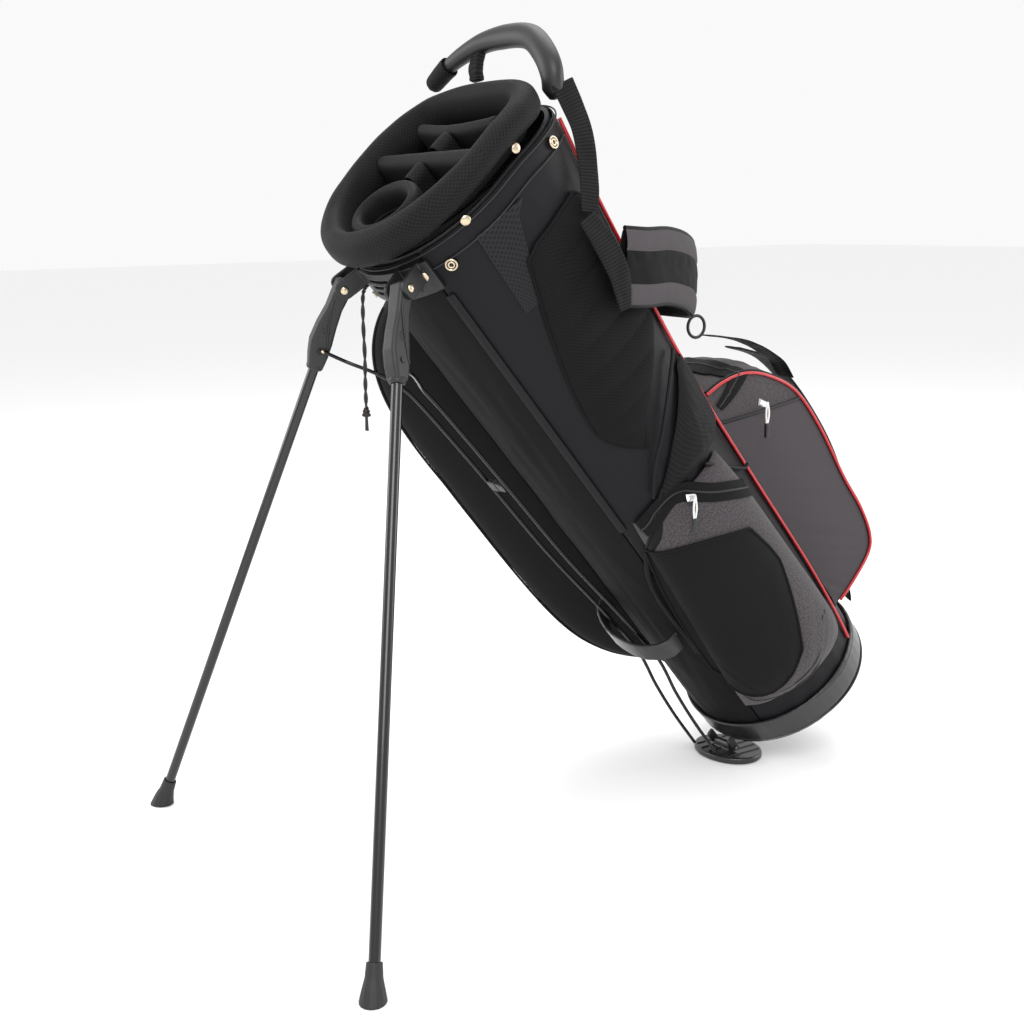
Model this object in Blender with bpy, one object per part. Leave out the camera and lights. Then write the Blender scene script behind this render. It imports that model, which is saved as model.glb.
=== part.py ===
"""Golf stand bag, standing on its two legs and its foot plate.

The bag is modelled in its own upright frame (X to its right side, Y from its leg side towards its
spine, Z up its axis, origin at the middle of the base) under the empty "bag_frame", which leans it
back to its standing tilt. World origin: the middle of the foot plate's flat underside, on the floor.
"""
import bpy
import bmesh
from math import cos, sin, pi, radians
from mathutils import Matrix, Vector

# ---- driving dimensions (metres, degrees) -------------------------------------------------------
TILT = radians(39.0)                 # lean of the bag's axis from upright
BASE_CENTRE = Vector((0.0, 0.0925, 0.0890))
BODY_RX = 0.1170                     # half width of the fabric tube
BODY_RY = 0.1120                     # half depth of the fabric tube
WALL = 0.0030
GAP = 0.0003                         # between pieces that touch
FLARE_Z = 0.4200                     # above this the tube widens towards the spine
TOP_RX = 0.1210                      # half width and half depth at the top
TOP_RY_FRONT = 0.1120
TOP_RY_BACK = 0.1340
TOP_SQUARE = 0.60                    # under 1 squares the back corners
RIM_Z = 0.8580                       # height of the collar's middle
RIM_SLOPE = 0.10                     # the rim climbs towards the spine
RIM_LEVEL_Y = 0.0350                 # and runs level behind this
BODY_TOP = 0.8260
CUP_HEIGHT = 0.0450
PIVOT = Vector((0.0650, -0.1280, 0.7970))        # right leg's hinge, bag frame
LEG_LENGTH = 0.6820                  # hinge to the middle of the sole
FOOT_X = 0.2750                      # half the spread of the feet, on the floor
FOOT_Y = -0.6765
TUBE_R = 0.0058
ROD_R = 0.0020
FOOT_LENGTH = 0.0340
PLATE_LENGTH = 0.0780
PLATE_WIDTH = 0.1000
PLATE_THICK = 0.0085
HINGE = Vector((0.0, -0.1240, 0.0040))           # foot plate's pin, bag frame

# ---- colours --------------------------------------------------------------------------------------
BLACK_FABRIC = ((0.012, 0.012, 0.014), 0.85, 0.0)
BLACK_MESH = ((0.010, 0.010, 0.012), 0.95, 0.0)
GREY_FABRIC = ((0.065, 0.058, 0.062), 0.85, 0.0)
RED_PIPING = ((0.450, 0.010, 0.014), 0.45, 0.0)
SATIN_PLASTIC = ((0.015, 0.015, 0.016), 0.42, 0.0)
GLOSS_BLACK = ((0.008, 0.008, 0.009), 0.20, 0.4)
RUBBER = ((0.012, 0.012, 0.012), 0.70, 0.0)
NICKEL = ((0.620, 0.580, 0.500), 0.30, 1.0)
WEBBING = ((0.013, 0.013, 0.014), 0.80, 0.0)
WHITE_CORD = ((0.700, 0.700, 0.700), 0.60, 0.0)

for item in list(bpy.data.objects):
    bpy.data.objects.remove(item, do_unlink=True)

scene = bpy.context.scene.collection


# ---- frames ---------------------------------------------------------------------------------------
def frame(name, parent=None, location=(0, 0, 0), basis=None):
    empty = bpy.data.objects.new(name, None)
    scene.objects.link(empty)
    empty.parent = parent
    empty.location = location
    if basis is not None:
        empty.rotation_euler = basis.to_euler()
    return empty


lean = Matrix.Rotation(TILT, 3, "X")
bag = frame("bag_frame", None, BASE_CENTRE, lean)


def to_bag(point):
    """World position to the bag's own frame."""
    return lean.transposed() @ (Vector(point) - BASE_CENTRE)


# ---- objects from meshes --------------------------------------------------------------------------
def paint(obj, finish):
    colour, roughness, metallic = finish
    material = bpy.data.materials.new(obj.name)
    material.use_nodes = True
    shader = material.node_tree.nodes["Principled BSDF"]
    shader.inputs["Base Color"].default_value = (*colour, 1.0)
    shader.inputs["Roughness"].default_value = roughness
    shader.inputs["Metallic"].default_value = metallic
    obj.data.materials.append(material)


def solid(name, bm, finish, parent=bag, at=(0, 0, 0), sharp=40):
    """One named object from a bmesh, with its faces pointing out."""
    bmesh.ops.recalc_face_normals(bm, faces=bm.faces)
    if bm.calc_volume(signed=True) < 0:
        bmesh.ops.reverse_faces(bm, faces=bm.faces)
    mesh = bpy.data.meshes.new(name)
    bm.to_mesh(mesh)
    bm.free()
    mesh.shade_smooth()
    mesh.set_sharp_from_angle(angle=radians(sharp))
    obj = bpy.data.objects.new(name, mesh)
    scene.objects.link(obj)
    obj.parent = parent
    obj.location = at
    if finish is not None:
        paint(obj, finish)
    return obj


def add_loft(bm, rings, looped=False):
    """Skin rings of equal point count; the ends are capped unless the loft closes on itself."""
    loops = [[bm.verts.new(p) for p in ring] for ring in rings]
    count = len(rings[0])
    pairs = list(zip(loops, loops[1:]))
    if looped:
        pairs.append((loops[-1], loops[0]))
    for low, high in pairs:
        for i in range(count):
            j = (i + 1) % count
            bm.faces.new((low[i], low[j], high[j], high[i]))
    if not looped:
        bm.faces.new(list(reversed(loops[0])))
        bm.faces.new(loops[-1])


def loft(name, rings, finish, parent=bag, looped=False, sharp=40):
    bm = bmesh.new()
    add_loft(bm, rings, looped)
    return solid(name, bm, finish, parent, sharp=sharp)


def spline(points, count):
    """Smooth curve (Catmull-Rom) through hand-chosen points, as count positions."""
    knots = [Vector(p) for p in points]
    knots = [2 * knots[0] - knots[1]] + knots + [2 * knots[-1] - knots[-2]]
    spans = len(knots) - 3
    out = []
    for i in range(count):
        s = i / (count - 1) * spans
        k = min(int(s), spans - 1)
        t = s - k
        a, b, c, d = knots[k:k + 4]
        out.append(0.5 * ((2 * b) + (c - a) * t + (2 * a - 5 * b + 4 * c - d) * t * t
                          + (3 * b - a - 3 * c + d) * t ** 3))
    return out


def wire(name, points, radius, finish, parent=bag, resolution=2):
    """Round cord or wire along a list of positions, with filled ends."""
    curve = bpy.data.curves.new(name, "CURVE")
    curve.dimensions = "3D"
    curve.bevel_depth = radius
    curve.bevel_resolution = resolution
    curve.render_resolution_u = 0
    curve.use_fill_caps = True
    line = curve.splines.new("POLY")
    line.points.add(len(points) - 1)
    for slot, p in zip(line.points, points):
        slot.co = (*p, 1.0)
    obj = bpy.data.objects.new(name, curve)
    scene.objects.link(obj)
    obj.parent = parent
    paint(obj, finish)
    return obj


def ribbon(name, points, side, width, thick, finish, parent=bag, sharp=40):
    """Flat strap: side(i) gives the width direction at point i."""
    rings = []
    last = len(points) - 1
    for i, p in enumerate(points):
        along = (points[min(i + 1, last)] - points[max(i - 1, 0)]).normalized()
        across = side(i) if callable(side) else Vector(side)
        across = (across - along * across.dot(along)).normalized()
        up = along.cross(across)
        rings.append([p + across * (u * width / 2) + up * (v * thick / 2)
                      for u, v in ((-1, -1), (1, -1), (1, 1), (-1, 1))])
    return loft(name, rings, finish, parent, sharp=sharp)


def outline(points, rounds, steps=5):
    """Polygon with each corner rounded by its radius, as 2-D positions."""
    out = []
    count = len(points)
    for i, radius in enumerate(rounds):
        here = Vector(points[i])
        before = (Vector(points[i - 1]) - here).normalized()
        after = (Vector(points[(i + 1) % count]) - here).normalized()
        if radius <= 0:
            out.append(here)
            continue
        half = before.angle(after) / 2
        reach = radius / (sin(half) / cos(half))
        centre = here + (before + after).normalized() * (radius / sin(half))
        start = (here + before * reach - centre).normalized()
        end = (here + after * reach - centre).normalized()
        for k in range(steps + 1):
            out.append(centre + start.slerp(end, k / steps).normalized() * radius)
    return out


def plate(name, shape, thick, finish, parent=bag, origin=(0, 0, 0), x_axis=(1, 0, 0),
          y_axis=(0, 0, 1), sharp=40):
    """Flat outline pushed out by thick along x_axis cross y_axis, centred on origin."""
    ex = Vector(x_axis).normalized()
    ey = Vector(y_axis).normalized()
    ez = ex.cross(ey)
    rings = []
    for w in (-thick / 2, thick / 2):
        rings.append([Vector(origin) + ex * p[0] + ey * p[1] + ez * w for p in shape])
    return loft(name, rings, finish, parent, sharp=sharp)


def rod(name, start, end, radius, finish, parent=bag, sides=20):
    """Turned pin between two positions."""
    start = Vector(start)
    end = Vector(end)
    along = (end - start).normalized()
    ex = along.orthogonal().normalized()
    ey = along.cross(ex)
    turn = [ex * cos(2 * pi * k / sides) + ey * sin(2 * pi * k / sides) for k in range(sides)]
    return loft(name, [[p + d * radius for d in turn] for p in (start, end)], finish, parent)


def turned(name, profile, start, along, finish, parent=bag, sides=20):
    """Turned piece from (distance, radius) pairs along an axis, solid inside."""
    along = Vector(along).normalized()
    ex = along.orthogonal().normalized()
    ey = along.cross(ex)
    turn = [ex * cos(2 * pi * k / sides) + ey * sin(2 * pi * k / sides) for k in range(sides)]
    rings = [[Vector(start) + along * z + d * r for d in turn] for z, r in profile]
    return loft(name, rings, finish, parent)


def boolean(target, other, operation):
    """Join to, or cut from, target, and keep the other shape out of the part."""
    modifier = target.modifiers.new(operation.lower(), "BOOLEAN")
    modifier.operation = operation
    modifier.solver = "EXACT"
    modifier.object = other
    other.hide_render = True
    other.display_type = "WIRE"


# ---- the fabric tube ------------------------------------------------------------------------------
def oval(phi, rx, front, back, power):
    """Superellipse on its spine side (power under 1 squares it), plain ellipse on its leg side."""
    power = power if sin(phi) > 0 else 1.0
    ry = back if sin(phi) > 0 else front
    return Vector((rx * abs(cos(phi)) ** power * (1 if cos(phi) >= 0 else -1),
                   ry * abs(sin(phi)) ** power * (1 if sin(phi) >= 0 else -1), 0))


def skin(phi, z, out=0.0):
    """Position on the tube's outside at angle phi (0 right, 90 spine), moved outwards."""
    flare = max(0.0, (z - FLARE_Z) / (BODY_TOP - FLARE_Z))

    def at(angle):
        plain = oval(angle, BODY_RX, BODY_RY, BODY_RY, 1.0)
        return plain.lerp(oval(angle, TOP_RX, TOP_RY_FRONT, TOP_RY_BACK, TOP_SQUARE), flare)

    step = 0.002
    along = at(phi + step) - at(phi - step)
    normal = Vector((along.y, -along.x, 0)).normalized()
    return at(phi) + normal * out + Vector((0, 0, z))


def rim_rise(y):
    return RIM_SLOPE * min(y, RIM_LEVEL_Y)


def rim_z(phi):
    """Height of the tube's top edge at an angle."""
    return BODY_TOP + rim_rise(skin(phi, BODY_TOP).y)


def strip(first, last, levels, inner, outer, steps):
    """Rings of a curved wall between two angles (degrees), at heights or functions of the angle."""
    angles = [radians(first + (last - first) * i / steps) for i in range(steps + 1)]
    rings = []
    for level in levels:
        heights = [level(phi) if callable(level) else level for phi in angles]
        ring = [skin(phi, z, outer) for phi, z in zip(angles, heights)]
        ring += [skin(phi, z, inner) for phi, z in reversed(list(zip(angles, heights)))]
        rings.append(ring)
    return rings


PANEL_BOTTOM = 0.0056
PANEL_STEPS = 12
for name, first, last, finish in (("body_right_panel", -54.9, 44.9, BLACK_FABRIC),
                                  ("body_spine_panel", 45.1, 134.9, GREY_FABRIC),
                                  ("body_left_panel", 135.1, 234.9, BLACK_FABRIC),
                                  ("body_front_panel", 235.1, 304.9, BLACK_FABRIC)):
    loft(name, strip(first, last, (PANEL_BOTTOM, FLARE_Z, rim_z), -WALL, 0.0, PANEL_STEPS), finish)

# moulded base, open at the top, with the tube standing in it
cup = []
CUP_WALL = 0.0040
for z, out in ((0.0, -0.0050), (0.0035, 0.0012), (0.0110, 0.0042), (CUP_HEIGHT - 0.002, 0.0062),
               (CUP_HEIGHT, 0.0056), (CUP_HEIGHT, 0.0018), (0.0052, 0.0010)):
    cup.append([skin(2 * pi * k / 48, z, out) for k in range(48)])
loft("base_cup", cup, SATIN_PLASTIC)

# moulded ring inside the mouth, which the dividers, handle and leg bracket screw to
HOOP_HEIGHT = 0.0340
hoop = []
for low, out in ((True, -0.0088), (True, -0.0042), (False, -0.0042), (False, -0.0088)):
    angles = [2 * pi * k / 48 for k in range(48)]
    hoop.append([skin(phi, rim_z(phi) - (HOOP_HEIGHT if low else 0.0), out) for phi in angles])
loft("top_frame", hoop, SATIN_PLASTIC, looped=True)

# stay inside the tube, from the base to the top frame
STAY_OUT = -0.0085
stay_levels = (0.0100, FLARE_Z, rim_z(pi / 2) - HOOP_HEIGHT - 0.0020)
wire("stay_spine", [skin(pi / 2, z, STAY_OUT) for z in stay_levels], 0.0040, SATIN_PLASTIC)

# ---- collar ---------------------------------------------------------------------------------------
CUFF_RX = 0.1200
CUFF_RY_FRONT = 0.1180
CUFF_RY_BACK = 0.1120
CUFF_SQUARE = 0.60


def rim(phi, u=0.0, v=0.0):
    """Position in the collar: angle, outward shift u, upward shift v."""
    p = oval(phi, CUFF_RX, CUFF_RY_FRONT, CUFF_RY_BACK, CUFF_SQUARE)
    ry = CUFF_RY_BACK if p.y > 0 else CUFF_RY_FRONT
    p += Vector((p.x / CUFF_RX ** 2, p.y / ry ** 2, 0)).normalized() * u
    p.z = RIM_Z + rim_rise(p.y) + v
    return p


# (outward, upward) points of the padded roll; its lower edge rises on the right side
CUFF_SECTION = ((-0.0150, -0.0300), (-0.0170, -0.0100), (-0.0130, 0.0050), (-0.0030, 0.0120),
                (0.0080, 0.0090), (0.0140, -0.0020), (0.0130, -0.0140), (0.0070, -0.0240))
cuff = []
for k in range(40):
    phi = 2 * pi * k / 40
    drop = 1 - 0.35 * max(0.0, cos(phi)) ** 4
    cuff.append([rim(phi, u, v * drop if v < 0 and u > 0 else v) for u, v in CUFF_SECTION])
loft("collar_cuff", cuff, BLACK_MESH, looped=True)


def bar(name, start, end, sag, width=0.0200, height=0.0340):
    """Padded divider: a rounded bar on edge, bowed along Y by sag."""
    along = (end - start).normalized()
    across = Vector((-along.y, along.x, 0))
    shape = outline([(-width / 2, -height), (width / 2, -height), (width / 2, 0), (-width / 2, 0)],
                    [0.0040, 0.0040, 0.45 * width, 0.45 * width], 4)
    rings = []
    for i in range(9):
        p = start.lerp(end, i / 8)
        p.y += sag * sin(pi * i / 8)
        p.z = RIM_Z + rim_rise(p.y) + DIVIDER_LIFT
        rings.append([p + across * q[0] + Vector((0, 0, q[1])) for q in shape])
    return loft(name, rings, BLACK_MESH)


DIVIDER_LIFT = 0.0010
bar("divider_cross", Vector((-0.1015, 0.0120, 0)), Vector((0.1015, 0.0120, 0)), 0.0)
bar("divider_rear", Vector((-0.0770, 0.0640, 0)), Vector((0.0770, 0.0640, 0)), -0.0080, 0.0160)
bar("divider_centre_rear", Vector((0.0, 0.0225, 0)), Vector((0.0, 0.0470, 0)), 0.0)
bar("divider_centre_front", Vector((0.0, -0.0210, 0)), Vector((0.0, 0.0015, 0)), 0.0)

WELL_CENTRE = Vector((0.0, -0.0610, 0))
well = []
for k in range(28):
    turn = Vector((0.0460 * cos(2 * pi * k / 28), 0.0320 * sin(2 * pi * k / 28), 0))
    normal = Vector((turn.x / 0.0460 ** 2, turn.y / 0.0320 ** 2, 0)).normalized()
    ring = []
    for u, v in ((-0.0070, -0.0300), (-0.0080, -0.0100), (-0.0050, -0.0010), (0.0, 0.0020),
                 (0.0050, -0.0010), (0.0070, -0.0100), (0.0060, -0.0300)):
        p = WELL_CENTRE + turn + normal * u
        p.z = RIM_Z + rim_rise(p.y) + v
        ring.append(p)
    well.append(ring)
loft("putter_well_ring", well, BLACK_MESH, looped=True)

# ---- carry handle: a moulded arch behind the rim ----------------------------------------------------
HANDLE_ROUTE = ((0.0900, 0.1250, 0.8400), (0.0940, 0.1380, 0.8600), (0.0740, 0.1550, 0.8760),
                (0.0400, 0.1710, 0.8850), (0.0000, 0.1730, 0.8890), (-0.0420, 0.1650, 0.8900),
                (-0.0850, 0.1460, 0.8840), (-0.1220, 0.1240, 0.8700))
HANDLE_STEPS = 19
route = spline(HANDLE_ROUTE, HANDLE_STEPS + 1)
handle_rings = []
for i, p in enumerate(route):
    along = (route[min(i + 1, HANDLE_STEPS)] - route[max(i - 1, 0)]).normalized()
    up = Vector((0, -0.45, 0.89))
    up = (up - along * up.dot(along)).normalized()
    across = along.cross(up)
    # it thins towards its left foot
    t = i / HANDLE_STEPS
    tall = 0.0110 - 0.0045 * max(0, (t - 0.72) / 0.28)
    wide = 0.0135 - 0.0070 * max(0, (t - 0.60) / 0.40)
    turns = [2 * pi * k / 10 for k in range(10)]
    handle_rings.append([p + across * (wide * cos(a)) + up * (tall * sin(a)) for a in turns])
handle = loft("carry_handle", handle_rings, SATIN_PLASTIC)
post = ribbon("join_handle_post", spline(((-0.0400, 0.1330, 0.8680), (-0.0420, 0.1440, 0.8760),
                                          (-0.0440, 0.1620, 0.8880)), 5),
              (1, 0, 0), 0.0160, 0.0100, None)
boolean(handle, post, "UNION")

# ---- leg bracket and legs ---------------------------------------------------------------------------
foot_point = to_bag((FOOT_X, FOOT_Y, 0.0))
open_way = (foot_point - PIVOT).normalized()
shut_way = Vector((0, 0, -1))
hinge_axis = open_way.cross(shut_way).normalized()
FOLD = open_way.angle(shut_way)

bracket = loft("stand_bracket", strip(-128, -52, (0.7700, 0.8060), GAP, 0.0058, 16), SATIN_PLASTIC)
for k in range(3):
    slot_z = 0.7800 + 0.0080 * k
    slot = plate("cut_bracket_slot_%d" % k,
                 outline([(-0.0210, -0.0020), (0.0210, -0.0020), (0.0210, 0.0020), (-0.0210, 0.0020)],
                         [0.0018] * 4, 3), 0.0400, None, origin=(0, -0.1160, slot_z))
    boolean(bracket, slot, "DIFFERENCE")


def mirrored(vector, side):
    return Vector((vector[0] * side, vector[1], vector[2]))


def leg(word, side):
    pivot = mirrored(PIVOT, side)
    down = mirrored(open_way, side)
    across = mirrored(hinge_axis, side) * side       # along +X for both legs
    inwards = across.cross(down)                     # towards the bag
    basis = Matrix((across, inwards, -down)).transposed()
    outwards = Vector((across.y * side, -across.x * side, 0)) * side
    # clevis ears on the bracket
    for shift, root in ((-0.0125 * side, 0.0270), (0.0125 * side, 0.0300)):
        ear = plate("join_ear_%s_%d" % (word, root * 1e4),
                    outline([(-root, -0.0110), (0.0090, -0.0110), (0.0090, 0.0110),
                             (-root, 0.0110)], [0.0, 0.0085, 0.0085, 0.0], 4), 0.0040, None,
                    origin=pivot + across * shift, x_axis=outwards, y_axis=(0, 0, 1))
        boolean(bracket, ear, "UNION")
    rod("leg_pin_" + word, pivot - across * 0.0104, pivot + across * 0.0104, 0.0024, NICKEL)

    leg_frame = frame("leg_frame_" + word, bag, pivot, basis)
    # knuckle: eye at the pin, shank, socket for the tube
    knuckle_rings = []
    for z, half_x, half_y, shift in ((0.0095, 0.0050, 0.0045, 0.0), (0.0060, 0.0098, 0.0085, 0.0),
                                     (-0.0080, 0.0098, 0.0095, 0.0), (-0.0250, 0.0092, 0.0088, 0.0015),
                                     (-0.0450, 0.0088, 0.0110, 0.0030), (-0.0650, 0.0092, 0.0125, 0.0030),
                                     (-0.0800, 0.0096, 0.0110, 0.0015), (-0.0930, 0.0086, 0.0086, 0.0)):
        shape = outline([(-half_x, -half_y), (half_x, -half_y), (half_x, half_y), (-half_x, half_y)],
                        [0.42 * min(half_x, half_y)] * 4, 3)
        knuckle_rings.append([Vector((q[0], q[1] - shift, z)) for q in shape])
    knuckle = loft("knuckle_" + word, knuckle_rings, SATIN_PLASTIC, leg_frame)
    bore = rod("cut_knuckle_bore_" + word, (-0.03, 0, 0), (0.03, 0, 0), 0.0027, None, leg_frame)
    boolean(knuckle, bore, "DIFFERENCE")
    socket = rod("cut_knuckle_socket_" + word, (0, 0, -0.1100), (0, 0, -0.0600),
                 TUBE_R + GAP, None, leg_frame)
    boolean(knuckle, socket, "DIFFERENCE")
    sole_clear = 0.0160
    rod("leg_tube_" + word, (0, 0, -0.0605), (0, 0, -LEG_LENGTH + sole_clear), TUBE_R, GLOSS_BLACK,
        leg_frame)

    # rubber foot with a blind socket for the tube; its sole is cut to lie flat on the floor
    world = bag.rotation_euler.to_matrix() @ basis
    hinge_height = (lean @ pivot + BASE_CENTRE).z

    def on_floor(x, y):
        return -(hinge_height + world[2][0] * x + world[2][1] * y) / world[2][2]

    foot_rings = []
    fluted = 0.0118
    foot_top = -LEG_LENGTH + FOOT_LENGTH
    socket_end = -LEG_LENGTH + sole_clear - GAP
    for z, radius in ((socket_end, TUBE_R + 0.0002), (foot_top, TUBE_R + 0.0002), (foot_top, 0.0078),
                      (foot_top - 0.0140, 0.0088), (foot_top - 0.0250, fluted), (None, 0.0135)):
        ring = []
        for k in range(24):
            flute = 1.0 - 0.05 * (k % 2) if radius == fluted else 1.0
            x = radius * flute * cos(2 * pi * k / 24)
            y = radius * flute * sin(2 * pi * k / 24)
            ring.append(Vector((x, y, on_floor(x, y) if z is None else z)))
        foot_rings.append(ring)
    loft("leg_foot_" + word, foot_rings, RUBBER, leg_frame)


leg("right", 1)
leg("left", -1)

# ---- foot plate and its hinge -------------------------------------------------------------------------
hinge_world = lean @ HINGE + BASE_CENTRE
plate_frame = frame("plate_frame", None, hinge_world)
plate_oval = []
for k in range(40):
    a = 2 * pi * k / 40
    plate_oval.append((PLATE_WIDTH / 2 * cos(a), PLATE_LENGTH / 2 * sin(a)))
plate_rings = []
for z, grow in ((0.0, -0.0020), (0.0020, 0.0), (PLATE_THICK - 0.0015, 0.0), (PLATE_THICK, -0.0015)):
    plate_rings.append([Vector((x * (1 + grow / 0.05), y * (1 + grow / 0.04), z)) - hinge_world
                        for x, y in plate_oval])
foot_plate = loft("foot_plate", plate_rings, SATIN_PLASTIC, plate_frame)
barrel_block = plate("join_plate_barrel",
                     outline([(-0.0055, -0.0090), (0.0055, -0.0090), (0.0055, 0.0055), (-0.0055, 0.0055)],
                             [0, 0, 0.0050, 0.0050], 5), 0.0280, None, plate_frame,
                     x_axis=(0, 1, 0), y_axis=(0, 0, 1))
boolean(foot_plate, barrel_block, "UNION")
boolean(foot_plate, rod("cut_plate_bore", (-0.03, 0, 0), (0.03, 0, 0), 0.0023, None, plate_frame),
        "DIFFERENCE")
rod("plate_pin", HINGE - Vector((0.0235, 0, 0)), HINGE + Vector((0.0235, 0, 0)), 0.0020, NICKEL)
lug_shape = outline([(-0.0045, -0.0045), (0.0058, -0.0045), (0.0058, 0.0150), (-0.0045, 0.0150)],
                    [0.0042, 0, 0, 0.0042], 4)
for word, side in (("right", 1), ("left", -1)):
    lug = plate("plate_lug_" + word, lug_shape, 0.0050, SATIN_PLASTIC, origin=HINGE
                + Vector((side * 0.0190, 0, 0)), x_axis=(0, 1, 0), y_axis=(0, 0, 1))
    bore = rod("cut_lug_bore_" + word, HINGE + Vector((side * 0.01, 0, 0)),
               HINGE + Vector((side * 0.03, 0, 0)), 0.0023, None)
    boolean(lug, bore, "DIFFERENCE")

# ---- spring-wire rods from the foot plate to the knuckles ---------------------------------------------
ROD_ROUTE = ((0.0200, -0.1490, 0.0270), (0.0205, -0.1470, 0.0850), (0.0200, -0.1420, 0.1400),
             (0.0200, -0.1330, 0.2000), (0.0200, -0.1370, 0.2800), (0.0200, -0.1470, 0.4000),
             (0.0200, -0.1510, 0.5230), (0.0215, -0.1560, 0.6400), (0.0250, -0.1600, 0.6820),
             (0.0450, -0.1660, 0.7060), (0.0700, -0.1760, 0.7300))
knuckle_point = PIVOT + open_way * 0.0720
for word, side in (("right", 1), ("left", -1)):
    route = [mirrored(p, side) for p in ROD_ROUTE]
    inward = mirrored(hinge_axis, side)
    route.append(mirrored(knuckle_point, side) - inward * 0.0125)
    wire("actuator_rod_" + word, spline(route, 26), ROD_R, GLOSS_BLACK)


# ---- pockets: fabric shells, open towards the tube they are sewn to -----------------------------------
def mix(a, b, t):
    return a + (b - a) * t


def crown(t, power):
    """0 at the ends of 0..1 and 1 in between; a higher power gives boxier sides."""
    return 1 - abs(2 * t - 1) ** power


def patch(name, finish, edges, depth, columns, rows, base=0.0012, wall=None, rim_out=0.0030):
    """Fabric form on the tube. edges(v) gives (phi0, phi1, z) in degrees and metres and depth(u, v)
    the height. With a wall it is a shell, open towards the tube; without one it is a filled pad."""
    outer = []
    inner = []
    # the inside is drawn in from the edges too, so that steep walls keep their thickness
    draw_u = 1.0 if wall is None else 0.94
    draw_v = 1.0 if wall is None else 1 - 2 * wall / (edges(1)[2] - edges(0)[2])
    for j in range(rows + 1):
        v = j / rows
        phi0, phi1, z = edges(v)
        in0, in1, in_z = edges(0.5 + (v - 0.5) * draw_v)
        outer_row = []
        inner_row = []
        for i in range(columns + 1):
            u = i / columns
            high = depth(u, v)
            low = 0.0 if wall is None else max(0.0, high - wall)
            outer_row.append(skin(radians(mix(phi0, phi1, u)), z, base + rim_out + high))
            inner_row.append(skin(radians(mix(in0, in1, 0.5 + (u - 0.5) * draw_u)), in_z, base + low))
        outer.append(outer_row)
        inner.append(inner_row)
    bm = bmesh.new()
    sheets = [[[bm.verts.new(p) for p in row] for row in rows_] for rows_ in (outer, inner)]
    for sheet, flip in zip(sheets, (False, True)):
        for j in range(rows):
            for i in range(columns):
                # both sheets are split along the same diagonal, so that they stay parallel
                a, b, c, d = sheet[j][i], sheet[j][i + 1], sheet[j + 1][i + 1], sheet[j + 1][i]
                for corners in ((a, b, c), (a, c, d)):
                    bm.faces.new(tuple(reversed(corners)) if flip else corners)
    top, under = sheets
    edge = [(0, i) for i in range(columns)] + [(j, columns) for j in range(rows)]
    edge += [(rows, i) for i in range(columns, 0, -1)] + [(j, 0) for j in range(rows, 0, -1)]
    for k, here in enumerate(edge):
        there = edge[(k + 1) % len(edge)]
        bm.faces.new((top[there[0]][there[1]], top[here[0]][here[1]],
                      under[here[0]][here[1]], under[there[0]][there[1]]))
    return solid(name, bm, finish)


POCKET_WALL = 0.0030
BALL_DEPTH = 0.1340
patch("side_pocket", GREY_FABRIC, lambda v: (mix(-56, -45, v), mix(26, 22, v), mix(0.0800, 0.4080, v)),
      lambda u, v: 0.0330 * crown(u, 4) ** 0.6 * crown(v, 6) ** 0.7 * mix(1.0, 0.75, v),
      12, 10, wall=POCKET_WALL)
patch("bottle_sleeve", BLACK_MESH, lambda v: (mix(-26, 30, v), 42, mix(0.4200, 0.5100, v)),
      lambda u, v: 0.0160 * crown(u, 3) * (1 - v) ** 0.7 * min(1, 0.3 + v * 6),
      8, 5, wall=POCKET_WALL)
patch("apparel_pocket", BLACK_FABRIC, lambda v: (150 + 12 * (1 - v), 236 - 2 * v, mix(0.1150, 0.7400, v)),
      lambda u, v: 0.1040 * crown(u, 12) * (0.45 + 0.55 * u) * crown(v, 5) ** 0.8,
      10, 14, wall=POCKET_WALL)
patch("ball_pocket_lower", GREY_FABRIC, lambda v: (48, 132, mix(0.0560, 0.3260, v)),
      lambda u, v: BALL_DEPTH * crown(u, 5) ** 0.6 * (1 - (1 - v) ** 4) ** 0.5 * (1 - 0.25 * v ** 4),
      12, 9, wall=POCKET_WALL)
patch("ball_pocket_upper", GREY_FABRIC, lambda v: (48, 132, mix(0.3270, 0.4450, v)),
      lambda u, v: BALL_DEPTH * 0.75 * crown(u, 5) ** 0.6 * (1 - v ** 1.6) ** 0.8,
      12, 5, wall=POCKET_WALL)
patch("hip_pad", BLACK_MESH,
      lambda v: (-34 + 44 * max(0, (v - 0.35) / 0.65) ** 3, mix(-12, 30, min(1, v * 4)),
                 mix(0.4760, 0.7600, v)),
      lambda u, v: 0.0100 * crown(u, 4) * crown(v, 5), 10, 14, base=0.0030)


# ---- zips: each slider runs on its tape and carries a hinged pull ---------------------------------------
PULL_LIFT = 0.0050


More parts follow.
